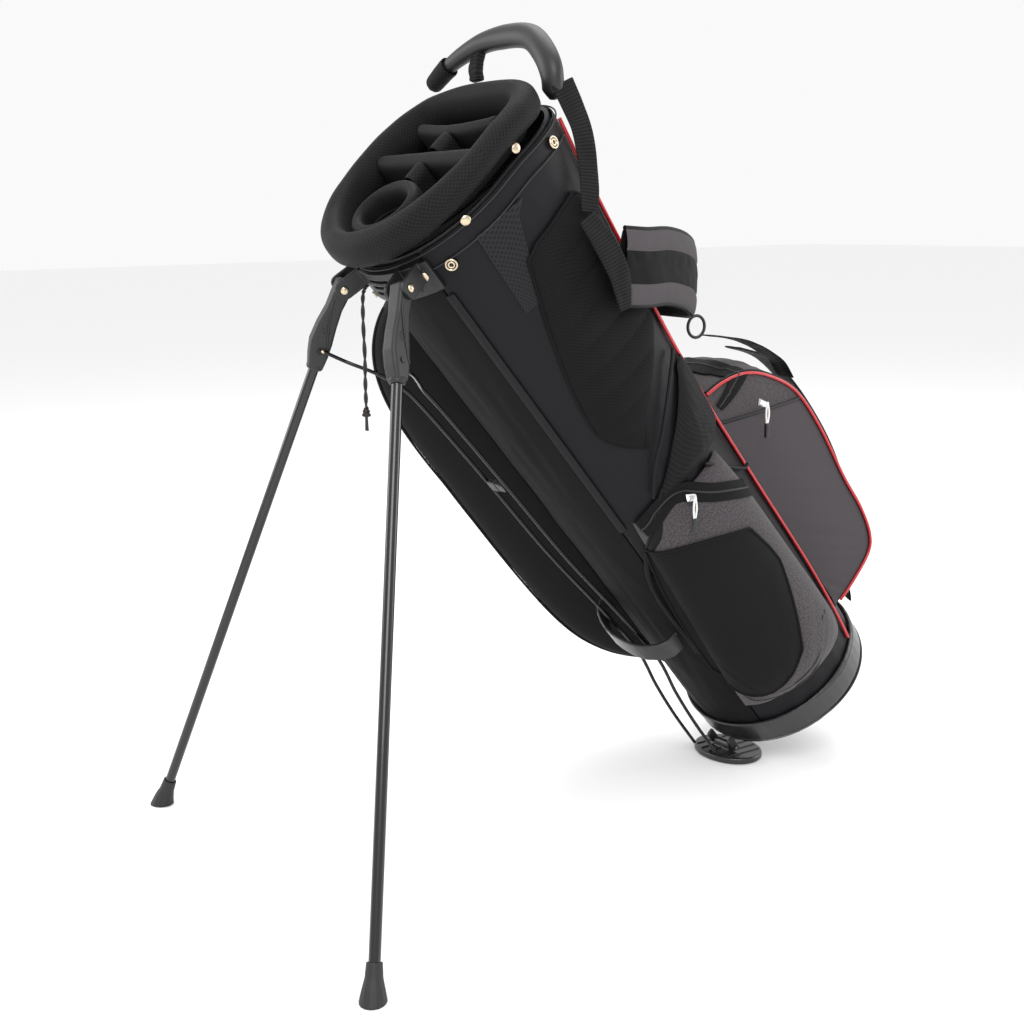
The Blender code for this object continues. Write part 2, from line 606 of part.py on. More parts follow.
def zip_set(word, origin, run, face, hang):
    """Slider at origin on a zip that runs along run, on a face; its pull hangs along hang."""
    run = Vector(run).normalized()
    face = Vector(face)
    face = (face - run * face.dot(run)).normalized()
    basis = Matrix((run, face.cross(run), face)).transposed()
    hang = Vector(hang)
    if hang.dot(face) < 0:
        hang -= face * hang.dot(face)
    hang.normalize()
    slide_frame = frame("zip_frame_" + word, bag, origin, basis)
    body_shape = outline([(-0.0060, -0.0045), (0.0060, -0.0035), (0.0060, 0.0035), (-0.0060, 0.0045)],
                         [0.0012] * 4, 2)
    rings = [[Vector((q[0] * k, q[1] * k, z)) for q in body_shape]
             for z, k in ((0.0, 0.9), (0.0008, 1.0), (0.0024, 1.0), (0.0032, 0.6))]
    loft("zip_slider_" + word, rings, NICKEL, slide_frame)
    # the pull turns on an axis across its hang, just above the slider
    axis = face.cross(hang).normalized()
    pull_basis = Matrix((axis, hang, axis.cross(hang))).transposed()
    pull_frame = frame("pull_frame_" + word, bag, Vector(origin) + face * PULL_LIFT, pull_basis)
    pull_shape = outline([(-0.0022, -0.0010), (0.0022, -0.0010), (0.0030, 0.0420), (-0.0030, 0.0420)],
                         [0.0010] * 4, 2)
    plate("zip_pull_" + word, pull_shape, 0.0024, WHITE_CORD, pull_frame, y_axis=(0, 1, 0))


down = lean.transposed() @ Vector((0, 0, -1))
zip_set("ball", (0.1030, 0.1345, 0.3930), (0.1, 0.6, -1), (0.93, 0.1, 0.35), down)
zip_set("side", (0.1330, -0.0265, 0.4040), (0.3, 0.82, -0.57), (0.78, -0.17, 0.61), down)
zip_set("apparel", skin(radians(200), 0.5600, 0.0900), (0, 0, -1), (-0.9, -0.35, 0), down)

# ---- shoulder strap --------------------------------------------------------------------------------------
ribbon("shoulder_pad", spline(((0.1460, 0.0540, 0.6740), (0.1410, 0.0800, 0.6500), (0.1230, 0.1140, 0.6220),
                               (0.0950, 0.1470, 0.5850), (0.0560, 0.1720, 0.5480), (0.0180, 0.1790, 0.5400),
                               (-0.0120, 0.1740, 0.5460), (-0.0400, 0.1600, 0.5600)), 20),
       lean.transposed() @ Vector((0, 0, 1)), 0.0800, 0.0120, GREY_FABRIC)
ribbon("strap_webbing_near", spline(((0.1060, 0.1340, 0.8300), (0.1160, 0.1180, 0.7950),
                                     (0.1240, 0.0980, 0.7600), (0.1270, 0.0800, 0.7300)), 12),
       (0, 0.94, -0.34), 0.0240, 0.0016, WEBBING)
ribbon("strap_webbing_far", spline(((-0.0200, 0.1420, 0.8200), (-0.0240, 0.1500, 0.7600),
                                    (-0.0280, 0.1620, 0.6900), (-0.0340, 0.1640, 0.6560)), 12),
       (1, 0, 0), 0.0300, 0.0016, WEBBING)
plate("strap_adjuster", outline([(-0.0160, -0.0110), (0.0160, -0.0110), (0.0160, 0.0110),
                                 (-0.0160, 0.0110)], [0.0030] * 4, 3), 0.0040, SATIN_PLASTIC,
      origin=(0.1420, 0.0470, 0.7250), x_axis=(0, 0.94, -0.34), y_axis=(0, 0.34, 0.94))

# ring that ties the pad to the lower webbing
ring_centre = Vector((0.0300, 0.1600, 0.4860))
strap_ring = []
for k in range(24):
    a = 2 * pi * k / 24
    away = Vector((0, cos(a), sin(a)))
    strap_ring.append([ring_centre + away * (0.0130 + 0.0020 * cos(2 * pi * j / 8))
                       + Vector((0.0020 * sin(2 * pi * j / 8), 0, 0)) for j in range(8)])
loft("strap_ring", strap_ring, SATIN_PLASTIC, looped=True)
ribbon("strap_webbing_lower", spline(((0.0300, 0.1660, 0.4660), (0.0300, 0.1950, 0.4350),
                                      (0.0280, 0.2150, 0.4000), (0.0260, 0.2290, 0.3620),
                                      (0.0250, 0.2260, 0.3320)), 12),
       (1, 0, 0), 0.0260, 0.0016, WEBBING)
ribbon("spine_grab_handle", spline(((-0.0200, 0.2220, 0.3250), (-0.0200, 0.2460, 0.2920),
                                    (-0.0200, 0.2550, 0.2350), (-0.0200, 0.2540, 0.1650),
                                    (-0.0200, 0.2400, 0.1150), (-0.0200, 0.2110, 0.0900)), 16),
       (1, 0, 0), 0.0260, 0.0024, WEBBING)
plate("rear_tab", outline([(-0.0110, -0.0140), (0.0110, -0.0140), (0.0110, 0.0140), (-0.0110, 0.0140)],
                          [0.0020] * 4, 2), 0.0030, WEBBING, origin=(0.0400, 0.1320, 0.0420),
      x_axis=(0.94, -0.34, 0), y_axis=(0, 0.34, 0.94))

# ---- rod guide band and rod clip ----------------------------------------------------------------
band_route = spline(((0.0540, -0.1080, 0.2200), (0.0510, -0.1280, 0.2220), (0.0280, -0.1450, 0.2280),
                     (0.0000, -0.1490, 0.2360), (-0.0280, -0.1450, 0.2460), (-0.0510, -0.1280, 0.2560),
                     (-0.0540, -0.1080, 0.2600)), 16)
ribbon("rod_guide_band", band_route, (0, 0, 1), 0.0260, 0.0040, SATIN_PLASTIC)
clip_shape = outline([(-0.0160, -0.0070), (-0.0010, -0.0070), (-0.0010, 0.0070), (-0.0160, 0.0070)],
                     [0.0030, 0.0010, 0.0010, 0.0030], 3)
plate("rod_clip_socket", clip_shape, 0.0070, SATIN_PLASTIC, origin=(0, -0.1510, 0.5230))
prong_shape = outline([(-0.0005, -0.0060), (0.0150, -0.0050), (0.0150, 0.0050), (-0.0005, 0.0060)],
                      [0.0010, 0.0030, 0.0030, 0.0010], 3)
plate("rod_clip_prong", prong_shape, 0.0060, SATIN_PLASTIC, origin=(0, -0.1510, 0.5230))

# ---- snaps and rivets on the tube ----------------------------------------------------------------------
STUDS = (("snap_upper", 27, 0.8120, True), ("snap_lower", -42.5, 0.7890, True),
         ("rivet_upper", 7, 0.8290, False), ("rivet_side", -24, 0.8180, False))
for name, degrees, z, ringed in STUDS:
    phi = radians(degrees)
    normal = (skin(phi, z, 0.001) - skin(phi, z)).normalized()
    start = skin(phi, z, 0.0006)
    if ringed:
        profile = ((0, 0.0068), (0.0014, 0.0066), (0.0022, 0.0052), (0.0012, 0.0040), (0.0020, 0.0026),
                   (0.0008, 0.0014))
    else:
        profile = ((0, 0.0052), (0.0010, 0.0048), (0.0022, 0.0020))
    turned(name, profile, start, normal, NICKEL)

# ---- red piping along the spine panel --------------------------------------------------------------------
PIPING_LEVELS = (0.0520, 0.2400, FLARE_Z, 0.6200, 0.8180)
for word, side in (("right", 1), ("left", -1)):
    line = [mirrored(skin(radians(46.0), z, 0.0023), side) for z in PIPING_LEVELS]
    wire("piping_" + word, line, 0.0017, RED_PIPING)

# ---- rain hood cord, hanging from the bracket, with its knot --------------------------------------
CORD_ROUTE = ((-0.0318, -0.4952, 0.6299), (-0.0325, -0.4985, 0.6262), (-0.0330, -0.5008, 0.6170),
              (-0.0330, -0.5015, 0.5900), (-0.0325, -0.5012, 0.5550), (-0.0320, -0.5020, 0.5250),
              (-0.0320, -0.5020, 0.5000))
KNOT = Vector((-0.0320, -0.5020, 0.4945))
cord_line = [to_bag(p) for p in spline(CORD_ROUTE, 24)]
wire("hanging_cord", cord_line, 0.0014, WEBBING)
knot_axis = lean.transposed() @ Vector((0, 0, -1))
turned("hanging_cord_knot", ((-0.0052, 0.0014), (-0.0030, 0.0040), (0.0020, 0.0042), (0.0050, 0.0020),
                             (0.0200, 0.0016)), to_bag(KNOT), knot_axis, WEBBING, sides=10)
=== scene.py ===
"""Golf stand bag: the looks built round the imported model, in its own frame (metres, Z up)."""
import bpy
import bmesh
from math import cos, sin, pi, radians, atan2
from mathutils import Matrix, Vector, noise


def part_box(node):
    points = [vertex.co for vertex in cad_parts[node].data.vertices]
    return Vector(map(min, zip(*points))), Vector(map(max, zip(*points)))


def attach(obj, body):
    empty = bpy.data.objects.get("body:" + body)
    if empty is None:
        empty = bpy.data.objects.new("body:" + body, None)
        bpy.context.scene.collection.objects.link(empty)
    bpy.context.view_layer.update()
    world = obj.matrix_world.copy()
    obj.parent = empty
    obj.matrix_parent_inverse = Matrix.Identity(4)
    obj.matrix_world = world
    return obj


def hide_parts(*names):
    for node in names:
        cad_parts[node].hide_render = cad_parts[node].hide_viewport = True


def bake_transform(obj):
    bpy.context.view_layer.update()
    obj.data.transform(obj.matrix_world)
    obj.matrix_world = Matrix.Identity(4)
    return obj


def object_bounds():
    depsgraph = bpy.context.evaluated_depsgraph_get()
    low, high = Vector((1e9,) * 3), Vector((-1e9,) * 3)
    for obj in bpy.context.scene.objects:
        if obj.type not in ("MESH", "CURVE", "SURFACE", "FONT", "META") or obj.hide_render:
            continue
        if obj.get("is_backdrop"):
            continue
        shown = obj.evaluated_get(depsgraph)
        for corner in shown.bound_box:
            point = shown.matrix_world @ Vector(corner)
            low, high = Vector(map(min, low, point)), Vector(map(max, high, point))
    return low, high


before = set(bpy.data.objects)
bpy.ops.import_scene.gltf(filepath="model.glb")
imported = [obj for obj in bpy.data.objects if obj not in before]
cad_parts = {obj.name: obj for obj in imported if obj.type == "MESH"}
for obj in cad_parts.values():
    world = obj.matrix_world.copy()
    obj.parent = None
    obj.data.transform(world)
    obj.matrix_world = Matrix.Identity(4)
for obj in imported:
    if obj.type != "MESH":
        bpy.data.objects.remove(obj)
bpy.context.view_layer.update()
if bpy.context.mode != "OBJECT":
    bpy.ops.object.mode_set(mode="OBJECT")
bpy.ops.object.select_all(action="DESELECT")


# ---- camera ----
# A 50 mm view from the bag's right and a little in front, just above the pocket's height.
# It is one camera, placed and turned.
yaw, pitch, roll = radians(56.74), radians(11.83), radians(-0.87)
ahead = Vector((-sin(yaw) * cos(pitch), cos(yaw) * cos(pitch), -sin(pitch)))
level = ahead.cross(Vector((0, 0, 1))).normalized()
upright = level.cross(ahead)
right = level * cos(roll) + upright * sin(roll)
upward = upright * cos(roll) - level * sin(roll)
bpy.ops.object.camera_add(location=(1.339, -1.2144, 0.7032))
camera = bpy.context.object
camera.name = "camera"
camera.rotation_euler = Matrix((right, upward, -ahead)).transposed().to_euler()
camera.data.sensor_width = 36.0
camera.data.lens = 50.17
camera.data.clip_start = 0.05
bpy.context.scene.camera = camera


# ---- floor and light ----
# A plain pale floor running into a pale surround, with large soft lights over and beside the bag.
# The floor is a plane, and the lights are area lights pointed at the middle of the bag.
bpy.ops.mesh.primitive_plane_add(size=40, location=(0, 0, -0.0006))
floor = bpy.context.object
floor.name = "floor"
floor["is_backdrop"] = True
paper = bpy.data.materials.new("floor_paper")
paper.use_nodes = True
shader = paper.node_tree.nodes["Principled BSDF"]
shader.inputs["Base Color"].default_value = (0.93, 0.93, 0.93, 1)
shader.inputs["Roughness"].default_value = 0.9
floor.data.materials.append(paper)

world = bpy.data.worlds.new("surround")
bpy.context.scene.world = world
world.use_nodes = True
world.node_tree.nodes["Background"].inputs["Color"].default_value = (1, 1, 1, 1)
world.node_tree.nodes["Background"].inputs["Strength"].default_value = 0.95
bpy.context.scene.view_settings.view_transform = "Standard"
middle = Vector((0, -0.25, 0.40))
for word, place, size, power in (("key", (2.2, -1.9, 2.3), 1.8, 62), ("top", (-0.6, 0.4, 2.9), 2.2, 40),
                                 ("side", (1.2, 2.4, 1.2), 1.6, 30), ("legs", (-1.8, -2.2, 1.3), 1.6, 26)):
    bpy.ops.object.light_add(type="AREA", location=place)
    light = bpy.context.object
    light.name = "light_" + word
    light.data.energy = power
    light.data.size = size
    light.rotation_euler = (middle - Vector(place)).to_track_quat("-Z", "Y").to_euler()


# ---- rain-hood cord ----
# Two thin black cords twisted together, hung from the bracket's eyelet and knotted near the end.
# Each strand is a curve turned round the hanging line; the knot is a closed curl with two tails.
def spline(points, count):
    """Catmull-Rom positions through given points."""
    knots = [Vector(p) for p in points]
    knots = [2 * knots[0] - knots[1]] + knots + [2 * knots[-1] - knots[-2]]
    out = []
    for i in range(count):
        s = i / (count - 1) * (len(knots) - 3)
        k = min(int(s), len(knots) - 4)
        t = s - k
        a, b, c, d = knots[k:k + 4]
        out.append(0.5 * (2 * b + (c - a) * t + (2 * a - 5 * b + 4 * c - d) * t * t
                          + (3 * b - a - 3 * c + d) * t ** 3))
    return out


def strand(name, points, radius, resolution=3):
    """Round cord along positions, as a mesh with closed ends."""
    curve = bpy.data.curves.new(name, "CURVE")
    curve.dimensions = "3D"
    curve.bevel_depth = radius
    curve.bevel_resolution = resolution
    curve.use_fill_caps = True
    line = curve.splines.new("POLY")
    line.points.add(len(points) - 1)
    for slot, p in zip(line.points, points):
        slot.co = (*p, 1.0)
    obj = bpy.data.objects.new(name, curve)
    bpy.context.scene.collection.objects.link(obj)
    bpy.ops.object.select_all(action="DESELECT")
    obj.select_set(True)
    bpy.context.view_layer.objects.active = obj
    bpy.ops.object.convert(target="MESH")
    bpy.ops.object.shade_smooth()
    bpy.ops.object.select_all(action="DESELECT")
    return obj


def join(name, parts):
    """Several objects as one."""
    bpy.ops.object.select_all(action="DESELECT")
    for obj in parts:
        obj.select_set(True)
    bpy.context.view_layer.objects.active = parts[0]
    bpy.ops.object.join()
    bpy.ops.object.select_all(action="DESELECT")
    parts[0].name = name
    return parts[0]


hang = spline(((-0.0318, -0.4952, 0.6299), (-0.0325, -0.4985, 0.6262), (-0.0330, -0.5008, 0.6170),
               (-0.0330, -0.5015, 0.5900), (-0.0325, -0.5012, 0.5550), (-0.0320, -0.5020, 0.5250),
               (-0.0320, -0.5020, 0.5000)), 60)
strands = []
for side in (0, pi):
    line = []
    for i, p in enumerate(hang):
        turn = side + 2 * pi * 5 * i / 59
        line.append(p + Vector((cos(turn), sin(turn), 0)) * 0.0011)
    strands.append(strand("twist", line, 0.0012))
hood_cord = join("hood_cord", strands)
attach(hood_cord, "bag")
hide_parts("hanging_cord")
knot_line = []
for i in range(50):
    t = i / 49 * 2 * pi
    knot_line.append(Vector((-0.0320, -0.5020, 0.4945))
                     + Vector((0.0026 * sin(2 * t), 0.0026 * cos(3 * t), 0.0040 * sin(t))))
tail = [strand("tail", spline(((-0.0320 + x, -0.5020, 0.4930), (-0.0318 + x, -0.5022, 0.4850),
                               (-0.0320 + 1.8 * x, -0.5020, 0.4740)), 8), 0.0012)
        for x in (-0.0010, 0.0010)]
knot = join("hood_cord_knot", [strand("knot", knot_line, 0.0016)] + tail)
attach(knot, "bag")
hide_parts("hanging_cord_knot")


# ---- fabric tube ----
# Four tall panels of satin polyester make the tube: right, spine, left and the dark one behind the legs.
# Each is a curved sheet laid on the tube's form, given a thickness, with soft creases down its length.
lean = Matrix.Rotation(radians(39.0), 3, "X")
stand = Vector((0.0, 0.0925, 0.0890))


def mix(a, b, t):
    return a + (b - a) * t


def put(p):
    """A place in the bag's own upright frame, leaned back to where the bag stands."""
    return lean @ Vector(p) + stand


def oval(angle, rx, front, back, power):
    power = power if sin(angle) > 0 else 1.0
    ry = back if sin(angle) > 0 else front
    return Vector((rx * abs(cos(angle)) ** power * (1 if cos(angle) >= 0 else -1),
                   ry * abs(sin(angle)) ** power * (1 if sin(angle) >= 0 else -1), 0))


def skin(turn, z, out=0.0):
    """On the tube at turn degrees (0 right, 90 spine) and height z, moved out."""
    flare = max(0.0, (z - 0.42) / 0.406)

    def at(angle):
        return oval(angle, 0.117, 0.112, 0.112, 1.0).lerp(oval(angle, 0.121, 0.112, 0.134, 0.60), flare)

    angle = radians(turn)
    along = at(angle + 0.002) - at(angle - 0.002)
    return at(angle) + Vector((along.y, -along.x, 0)).normalized() * out + Vector((0, 0, z))


def rim_rise(y):
    return 0.10 * min(y, 0.035)


def rim_z(turn):
    return 0.826 + rim_rise(skin(turn, 0.826).y)


def crease(p, fine=1.0, seed=0.0):
    """Soft ridged creases, 0 to 1, that change slowly along the second axis."""
    q = Vector((p[0] * fine, p[1] * fine, seed))
    return 1.0 - min(1.0, abs(noise.noise(q) + 0.5 * noise.noise(q * 2.3)) * 2.2)


def sheet_of(name, at, columns, rows, material, thick=0.0016, wrap=False, smooth=1, stripe=None):
    """A cloth sheet through at(u, v), in the bag's frame, with a UV map in metres."""
    count = columns if wrap else columns + 1
    places = [[put(at(i / columns, j / rows)) for i in range(columns + 1)] for j in range(rows + 1)]
    across, along = [0.0], [0.0]
    for i in range(columns):
        across.append(across[-1] + (places[rows // 2][i + 1] - places[rows // 2][i]).length)
    for j in range(rows):
        along.append(along[-1] + (places[j + 1][columns // 2] - places[j][columns // 2]).length)
    bm = bmesh.new()
    uv = bm.loops.layers.uv.new("cloth")
    verts = [[bm.verts.new(p) for p in row[:count]] for row in places]
    for j in range(rows):
        for i in range(columns):
            k = (i + 1) % count
            face = bm.faces.new((verts[j][i], verts[j][k], verts[j + 1][k], verts[j + 1][i]))
            face.smooth = True
            if stripe:
                face.material_index = stripe((i + 0.5) / columns, (j + 0.5) / rows)
            for loop, (a, b) in zip(face.loops, ((i, j), (i + 1, j), (i + 1, j + 1), (i, j + 1))):
                loop[uv].uv = (across[a], along[b])
    mesh = bpy.data.meshes.new(name)
    bm.to_mesh(mesh)
    bm.free()
    obj = bpy.data.objects.new(name, mesh)
    bpy.context.scene.collection.objects.link(obj)
    for one in material if isinstance(material, tuple) else (material,):
        mesh.materials.append(one)
    body = obj.modifiers.new("thickness", "SOLIDIFY")
    body.thickness = thick
    body.offset = -1
    if smooth:
        rounding = obj.modifiers.new("rounding", "SUBSURF")
        rounding.levels = smooth
        rounding.render_levels = smooth
    bpy.ops.object.select_all(action="DESELECT")
    obj.select_set(True)
    bpy.context.view_layer.objects.active = obj
    bpy.ops.object.convert(target="MESH")
    bpy.ops.object.select_all(action="DESELECT")
    return obj


def cloth(name, colour, pattern="weave", pitch=0.0016, rough=0.8, bump=0.25, other=None, sheen=0.0):
    """Cloth by its UV map in metres: weave, ribs (bands along the cloth), holes or heather."""
    material = bpy.data.materials.new(name)
    material.use_nodes = True
    nodes, links = material.node_tree.nodes, material.node_tree.links
    shader = nodes["Principled BSDF"]
    shader.inputs["Base Color"].default_value = (*colour, 1)
    shader.inputs["Roughness"].default_value = rough
    shader.inputs["Sheen Weight"].default_value = sheen
    shader.inputs["Specular IOR Level"].default_value = 0.14
    place = nodes.new("ShaderNodeUVMap")
    place.uv_map = "cloth"
    height = None
    if pattern in ("weave", "ribs", "heather"):
        wave = nodes.new("ShaderNodeTexWave")
        wave.bands_direction = "Y"
        wave.inputs["Scale"].default_value = 0.314 / pitch
        links.new(place.outputs["UV"], wave.inputs["Vector"])
        height = wave.outputs["Fac"]
        if pattern != "ribs":
            cross = nodes.new("ShaderNodeTexWave")
            cross.bands_direction = "X"
            cross.inputs["Scale"].default_value = 0.314 / pitch
            links.new(place.outputs["UV"], cross.inputs["Vector"])
            join_up = nodes.new("ShaderNodeMath")
            join_up.operation = "MULTIPLY"
            links.new(height, join_up.inputs[0])
            links.new(cross.outputs["Fac"], join_up.inputs[1])
            height = join_up.outputs["Value"]
    else:
        turn = nodes.new("ShaderNodeMapping")
        turn.inputs["Rotation"].default_value = (0, 0, radians(45))
        links.new(place.outputs["UV"], turn.inputs["Vector"])
        cells = nodes.new("ShaderNodeTexVoronoi")
        cells.distance = "CHEBYCHEV"
        cells.inputs["Scale"].default_value = 1 / pitch
        cells.inputs["Randomness"].default_value = 0.0
        links.new(turn.outputs["Vector"], cells.inputs["Vector"])
        height = cells.outputs["Distance"]
    if other:
        blend_two = nodes.new("ShaderNodeMix")
        blend_two.data_type = "RGBA"
        blend_two.inputs["A"].default_value = (*other, 1)
        blend_two.inputs["B"].default_value = (*colour, 1)
        if pattern == "heather":
            fleck = nodes.new("ShaderNodeTexNoise")
            fleck.inputs["Scale"].default_value = 420
            fleck.inputs["Detail"].default_value = 3
            links.new(place.outputs["UV"], fleck.inputs["Vector"])
            ramp = nodes.new("ShaderNodeMapRange")
            ramp.inputs["From Min"].default_value = 0.38
            ramp.inputs["From Max"].default_value = 0.62
            links.new(fleck.outputs["Fac"], ramp.inputs["Value"])
            links.new(ramp.outputs["Result"], blend_two.inputs["Factor"])
        else:
            ramp = nodes.new("ShaderNodeMapRange")
            ramp.inputs["From Min"].default_value = 0.22
            ramp.inputs["From Max"].default_value = 0.36
            links.new(height, ramp.inputs["Value"])
            links.new(ramp.outputs["Result"], blend_two.inputs["Factor"])
        links.new(blend_two.outputs["Result"], shader.inputs["Base Color"])
    relief = nodes.new("ShaderNodeBump")
    relief.inputs["Strength"].default_value = bump
    relief.inputs["Distance"].default_value = 0.0006
    links.new(height, relief.inputs["Height"])
    links.new(relief.outputs["Normal"], shader.inputs["Normal"])
    return material


def dress(obj, body, slot=None, *nodes):
    """Let a piece ride on a body and stand for CAD nodes; the slot is not used."""
    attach(obj, body)
    if nodes:
        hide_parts(*nodes)
    return obj


black_satin = cloth("black_satin", (0.0065, 0.0065, 0.0078), "weave", 0.0014, 0.50, 0.12)
black_cloth = cloth("black_cloth", (0.0040, 0.0040, 0.0046), "weave", 0.0016, 0.72, 0.2)
heather = cloth("grey_heather", (0.070, 0.062, 0.066), "heather", 0.0016, 0.85, 0.25, (0.036, 0.032, 0.035),
                0.1)
plain_grey = cloth("grey_cloth", (0.052, 0.046, 0.050), "weave", 0.0014, 0.70, 0.15)
diamond = cloth("diamond_cloth", (0.0150, 0.0140, 0.0160), "holes", 0.0042, 0.55, 0.5,
                (0.0065, 0.0065, 0.0075))
binding = cloth("grey_binding", (0.0110, 0.0110, 0.0120), "ribs", 0.0020, 0.6, 0.3)
for node, word, first, last, finish, seed in (
        ("body_right_panel", "tube_right", -54.9, 44.9, black_satin, 3.0),
        ("body_spine_panel", "tube_spine", 45.1, 134.9, plain_grey, 9.0),
        ("body_left_panel", "tube_left", 135.1, 234.9, black_cloth, 14.0),
        ("body_front_panel", "tube_front", 235.1, 304.9, black_cloth, 21.0)):

    def panel(u, v):
        turn = mix(first, last, u)
        z = mix(0.0056, rim_z(turn) - 0.002, v)
        wave = 0.0016 * crease((turn / 14, z * 5), 1.0, seed) * min(1, 6 * u, 6 * (1 - u))
        return skin(turn, z, 0.0002 + wave * min(1, 8 * (1 - v)))

    dress(sheet_of(word, panel, 30, 90, finish, 0.0022), "bag",
          "fabric_grey" if word == "tube_spine" else "fabric_black", node)

# the lighter woven patch between the rivet and the hip pad, and the grey binding beside the legs
def woven_patch(u, v):
    return skin(mix(mix(-26, -25, v), mix(-16, 2, v), u), mix(0.700, 0.800, v), 0.0030)


def leg_binding(u, v):
    return skin(mix(-55.5, -50.5, u), mix(0.400, 0.760, v), 0.0042 - 0.0012 * abs(2 * u - 1))


dress(sheet_of("woven_patch", woven_patch, 12, 24, diamond, 0.0008), "bag", "fabric_grey")
dress(sheet_of("leg_side_binding", leg_binding, 6, 60, binding, 0.0010), "bag", "fabric_grey")


# ---- seams and piping ----
# Red cord piping runs down both sides of the spine; dark stitched seams ring the tube under the collar.
# Each is a thin cord swept along a line on the tube.
def gloss(name, colour, rough, metal=0.0, coat=0.0, grain=0.0, grain_scale=300):
    """Hard or coated finish with a fine grain on Object coordinates."""
    material = bpy.data.materials.new(name)
    material.use_nodes = True
    nodes, links = material.node_tree.nodes, material.node_tree.links
    shader = nodes["Principled BSDF"]
    shader.inputs["Base Color"].default_value = (*colour, 1)
    shader.inputs["Roughness"].default_value = rough
    shader.inputs["Metallic"].default_value = metal
    shader.inputs["Coat Weight"].default_value = coat
    place = nodes.new("ShaderNodeTexCoord")
    speck = nodes.new("ShaderNodeTexNoise")
    speck.inputs["Scale"].default_value = grain_scale
    links.new(place.outputs["Object"], speck.inputs["Vector"])
    relief = nodes.new("ShaderNodeBump")
    relief.inputs["Strength"].default_value = grain
    relief.inputs["Distance"].default_value = 0.0004
    links.new(speck.outputs["Fac"], relief.inputs["Height"])
    links.new(relief.outputs["Normal"], shader.inputs["Normal"])
    return material


red_vinyl = gloss("red_vinyl", (0.42, 0.010, 0.016), 0.38, 0.0, 0.2, 0.15)
dark_thread = gloss("dark_thread", (0.006, 0.006, 0.007), 0.6, 0.0, 0.0, 0.3, 900)


def cord_on(name, places, count, radius, finish):
    obj = strand(name, [put(p) for p in spline(places, count)], radius)
    obj.data.materials.clear()
    obj.data.materials.append(finish)
    return obj


right_line = ((47.5, 0.820), (41.5, 0.726), (39.9, 0.555), (46.0, 0.452), (46.5, 0.433), (44.6, 0.320),
              (42.2, 0.174), (36.0, 0.090), (31.0, 0.048))
dress(cord_on("red_piping_right", [skin(t, z, 0.0040) for t, z in right_line], 120, 0.0021, red_vinyl),
      "bag", "piping_red", "piping_right")
dress(cord_on("red_piping_left", [skin(180 - t, z, 0.0040) for t, z in right_line], 120, 0.0021, red_vinyl),
      "bag", "piping_red", "piping_left")
# the flat black tape that the piping is sewn to
for word, side in (("right", 1), ("left", -1)):

    def tape(u, v):
        t, z, _ = spline([(t, z, 0) for t, z in right_line], 61)[round(v * 60)]
        shift = mix(-1.2, 3.6, u)
        return skin(t + shift if side > 0 else 180 - t - shift, z, 0.0030)

    dress(sheet_of("piping_tape_" + word, tape, 3, 60, black_cloth, 0.0008), "bag", "fabric_black")
for k, drop in enumerate((0.0050, 0.0240)):
    ring = [skin(t, rim_z(t) - drop, 0.0022) for t in range(0, 361, 6)]
    dress(cord_on("collar_seam_%d" % k, ring, 120, 0.0009, dark_thread), "bag", "fabric_black")


# ---- collar ----
# A padded roll of black spacer mesh round the mouth, with the same mesh over the well and the dividers.
# The roll is a closed sheet swept round the mouth; the dividers are padded bars with rounded tops.
spacer = cloth("spacer_mesh", (0.0085, 0.0085, 0.0095), "holes", 0.0036, 0.62, 0.9, (0.0015, 0.0015, 0.0017))
ribbed = cloth("ribbed_mesh", (0.0100, 0.0100, 0.0110), "ribs", 0.0042, 0.7, 0.9, (0.0030, 0.0030, 0.0034))
roll_section = ((-0.0150, -0.0300), (-0.0172, -0.0180), (-0.0165, -0.0080), (-0.0130, 0.0050),
                (-0.0070, 0.0110), (0.0005, 0.0120), (0.0080, 0.0090), (0.0125, 0.0030), (0.0138, -0.0040),
                (0.0128, -0.0140), (0.0095, -0.0200), (0.0050, -0.0240))


def rim(turn, u, v):
    """On the collar at turn degrees, u out from its middle line and v up."""
    p = oval(radians(turn), 0.120, 0.118, 0.112, 0.60)
    deep = 0.112 if p.y > 0 else 0.118
    p += Vector((p.x / 0.120 ** 2, p.y / deep ** 2, 0)).normalized() * u
    p.z = 0.858 + rim_rise(p.y) + v
    return p


def roll(u, v):
    a, b, _ = spline([(q[0], q[1], 0) for q in roll_section], 25)[round(v * 24)]
    turn = 360 * u
    if b < 0 < a:
        b *= 1 - 0.35 * max(0.0, cos(radians(turn))) ** 4
    puff = 0.0010 * noise.noise(Vector((cos(radians(turn)) * 3, sin(radians(turn)) * 3, v * 4)))
    return rim(turn, a + puff * (1 if a > 0 else -1), b + puff)


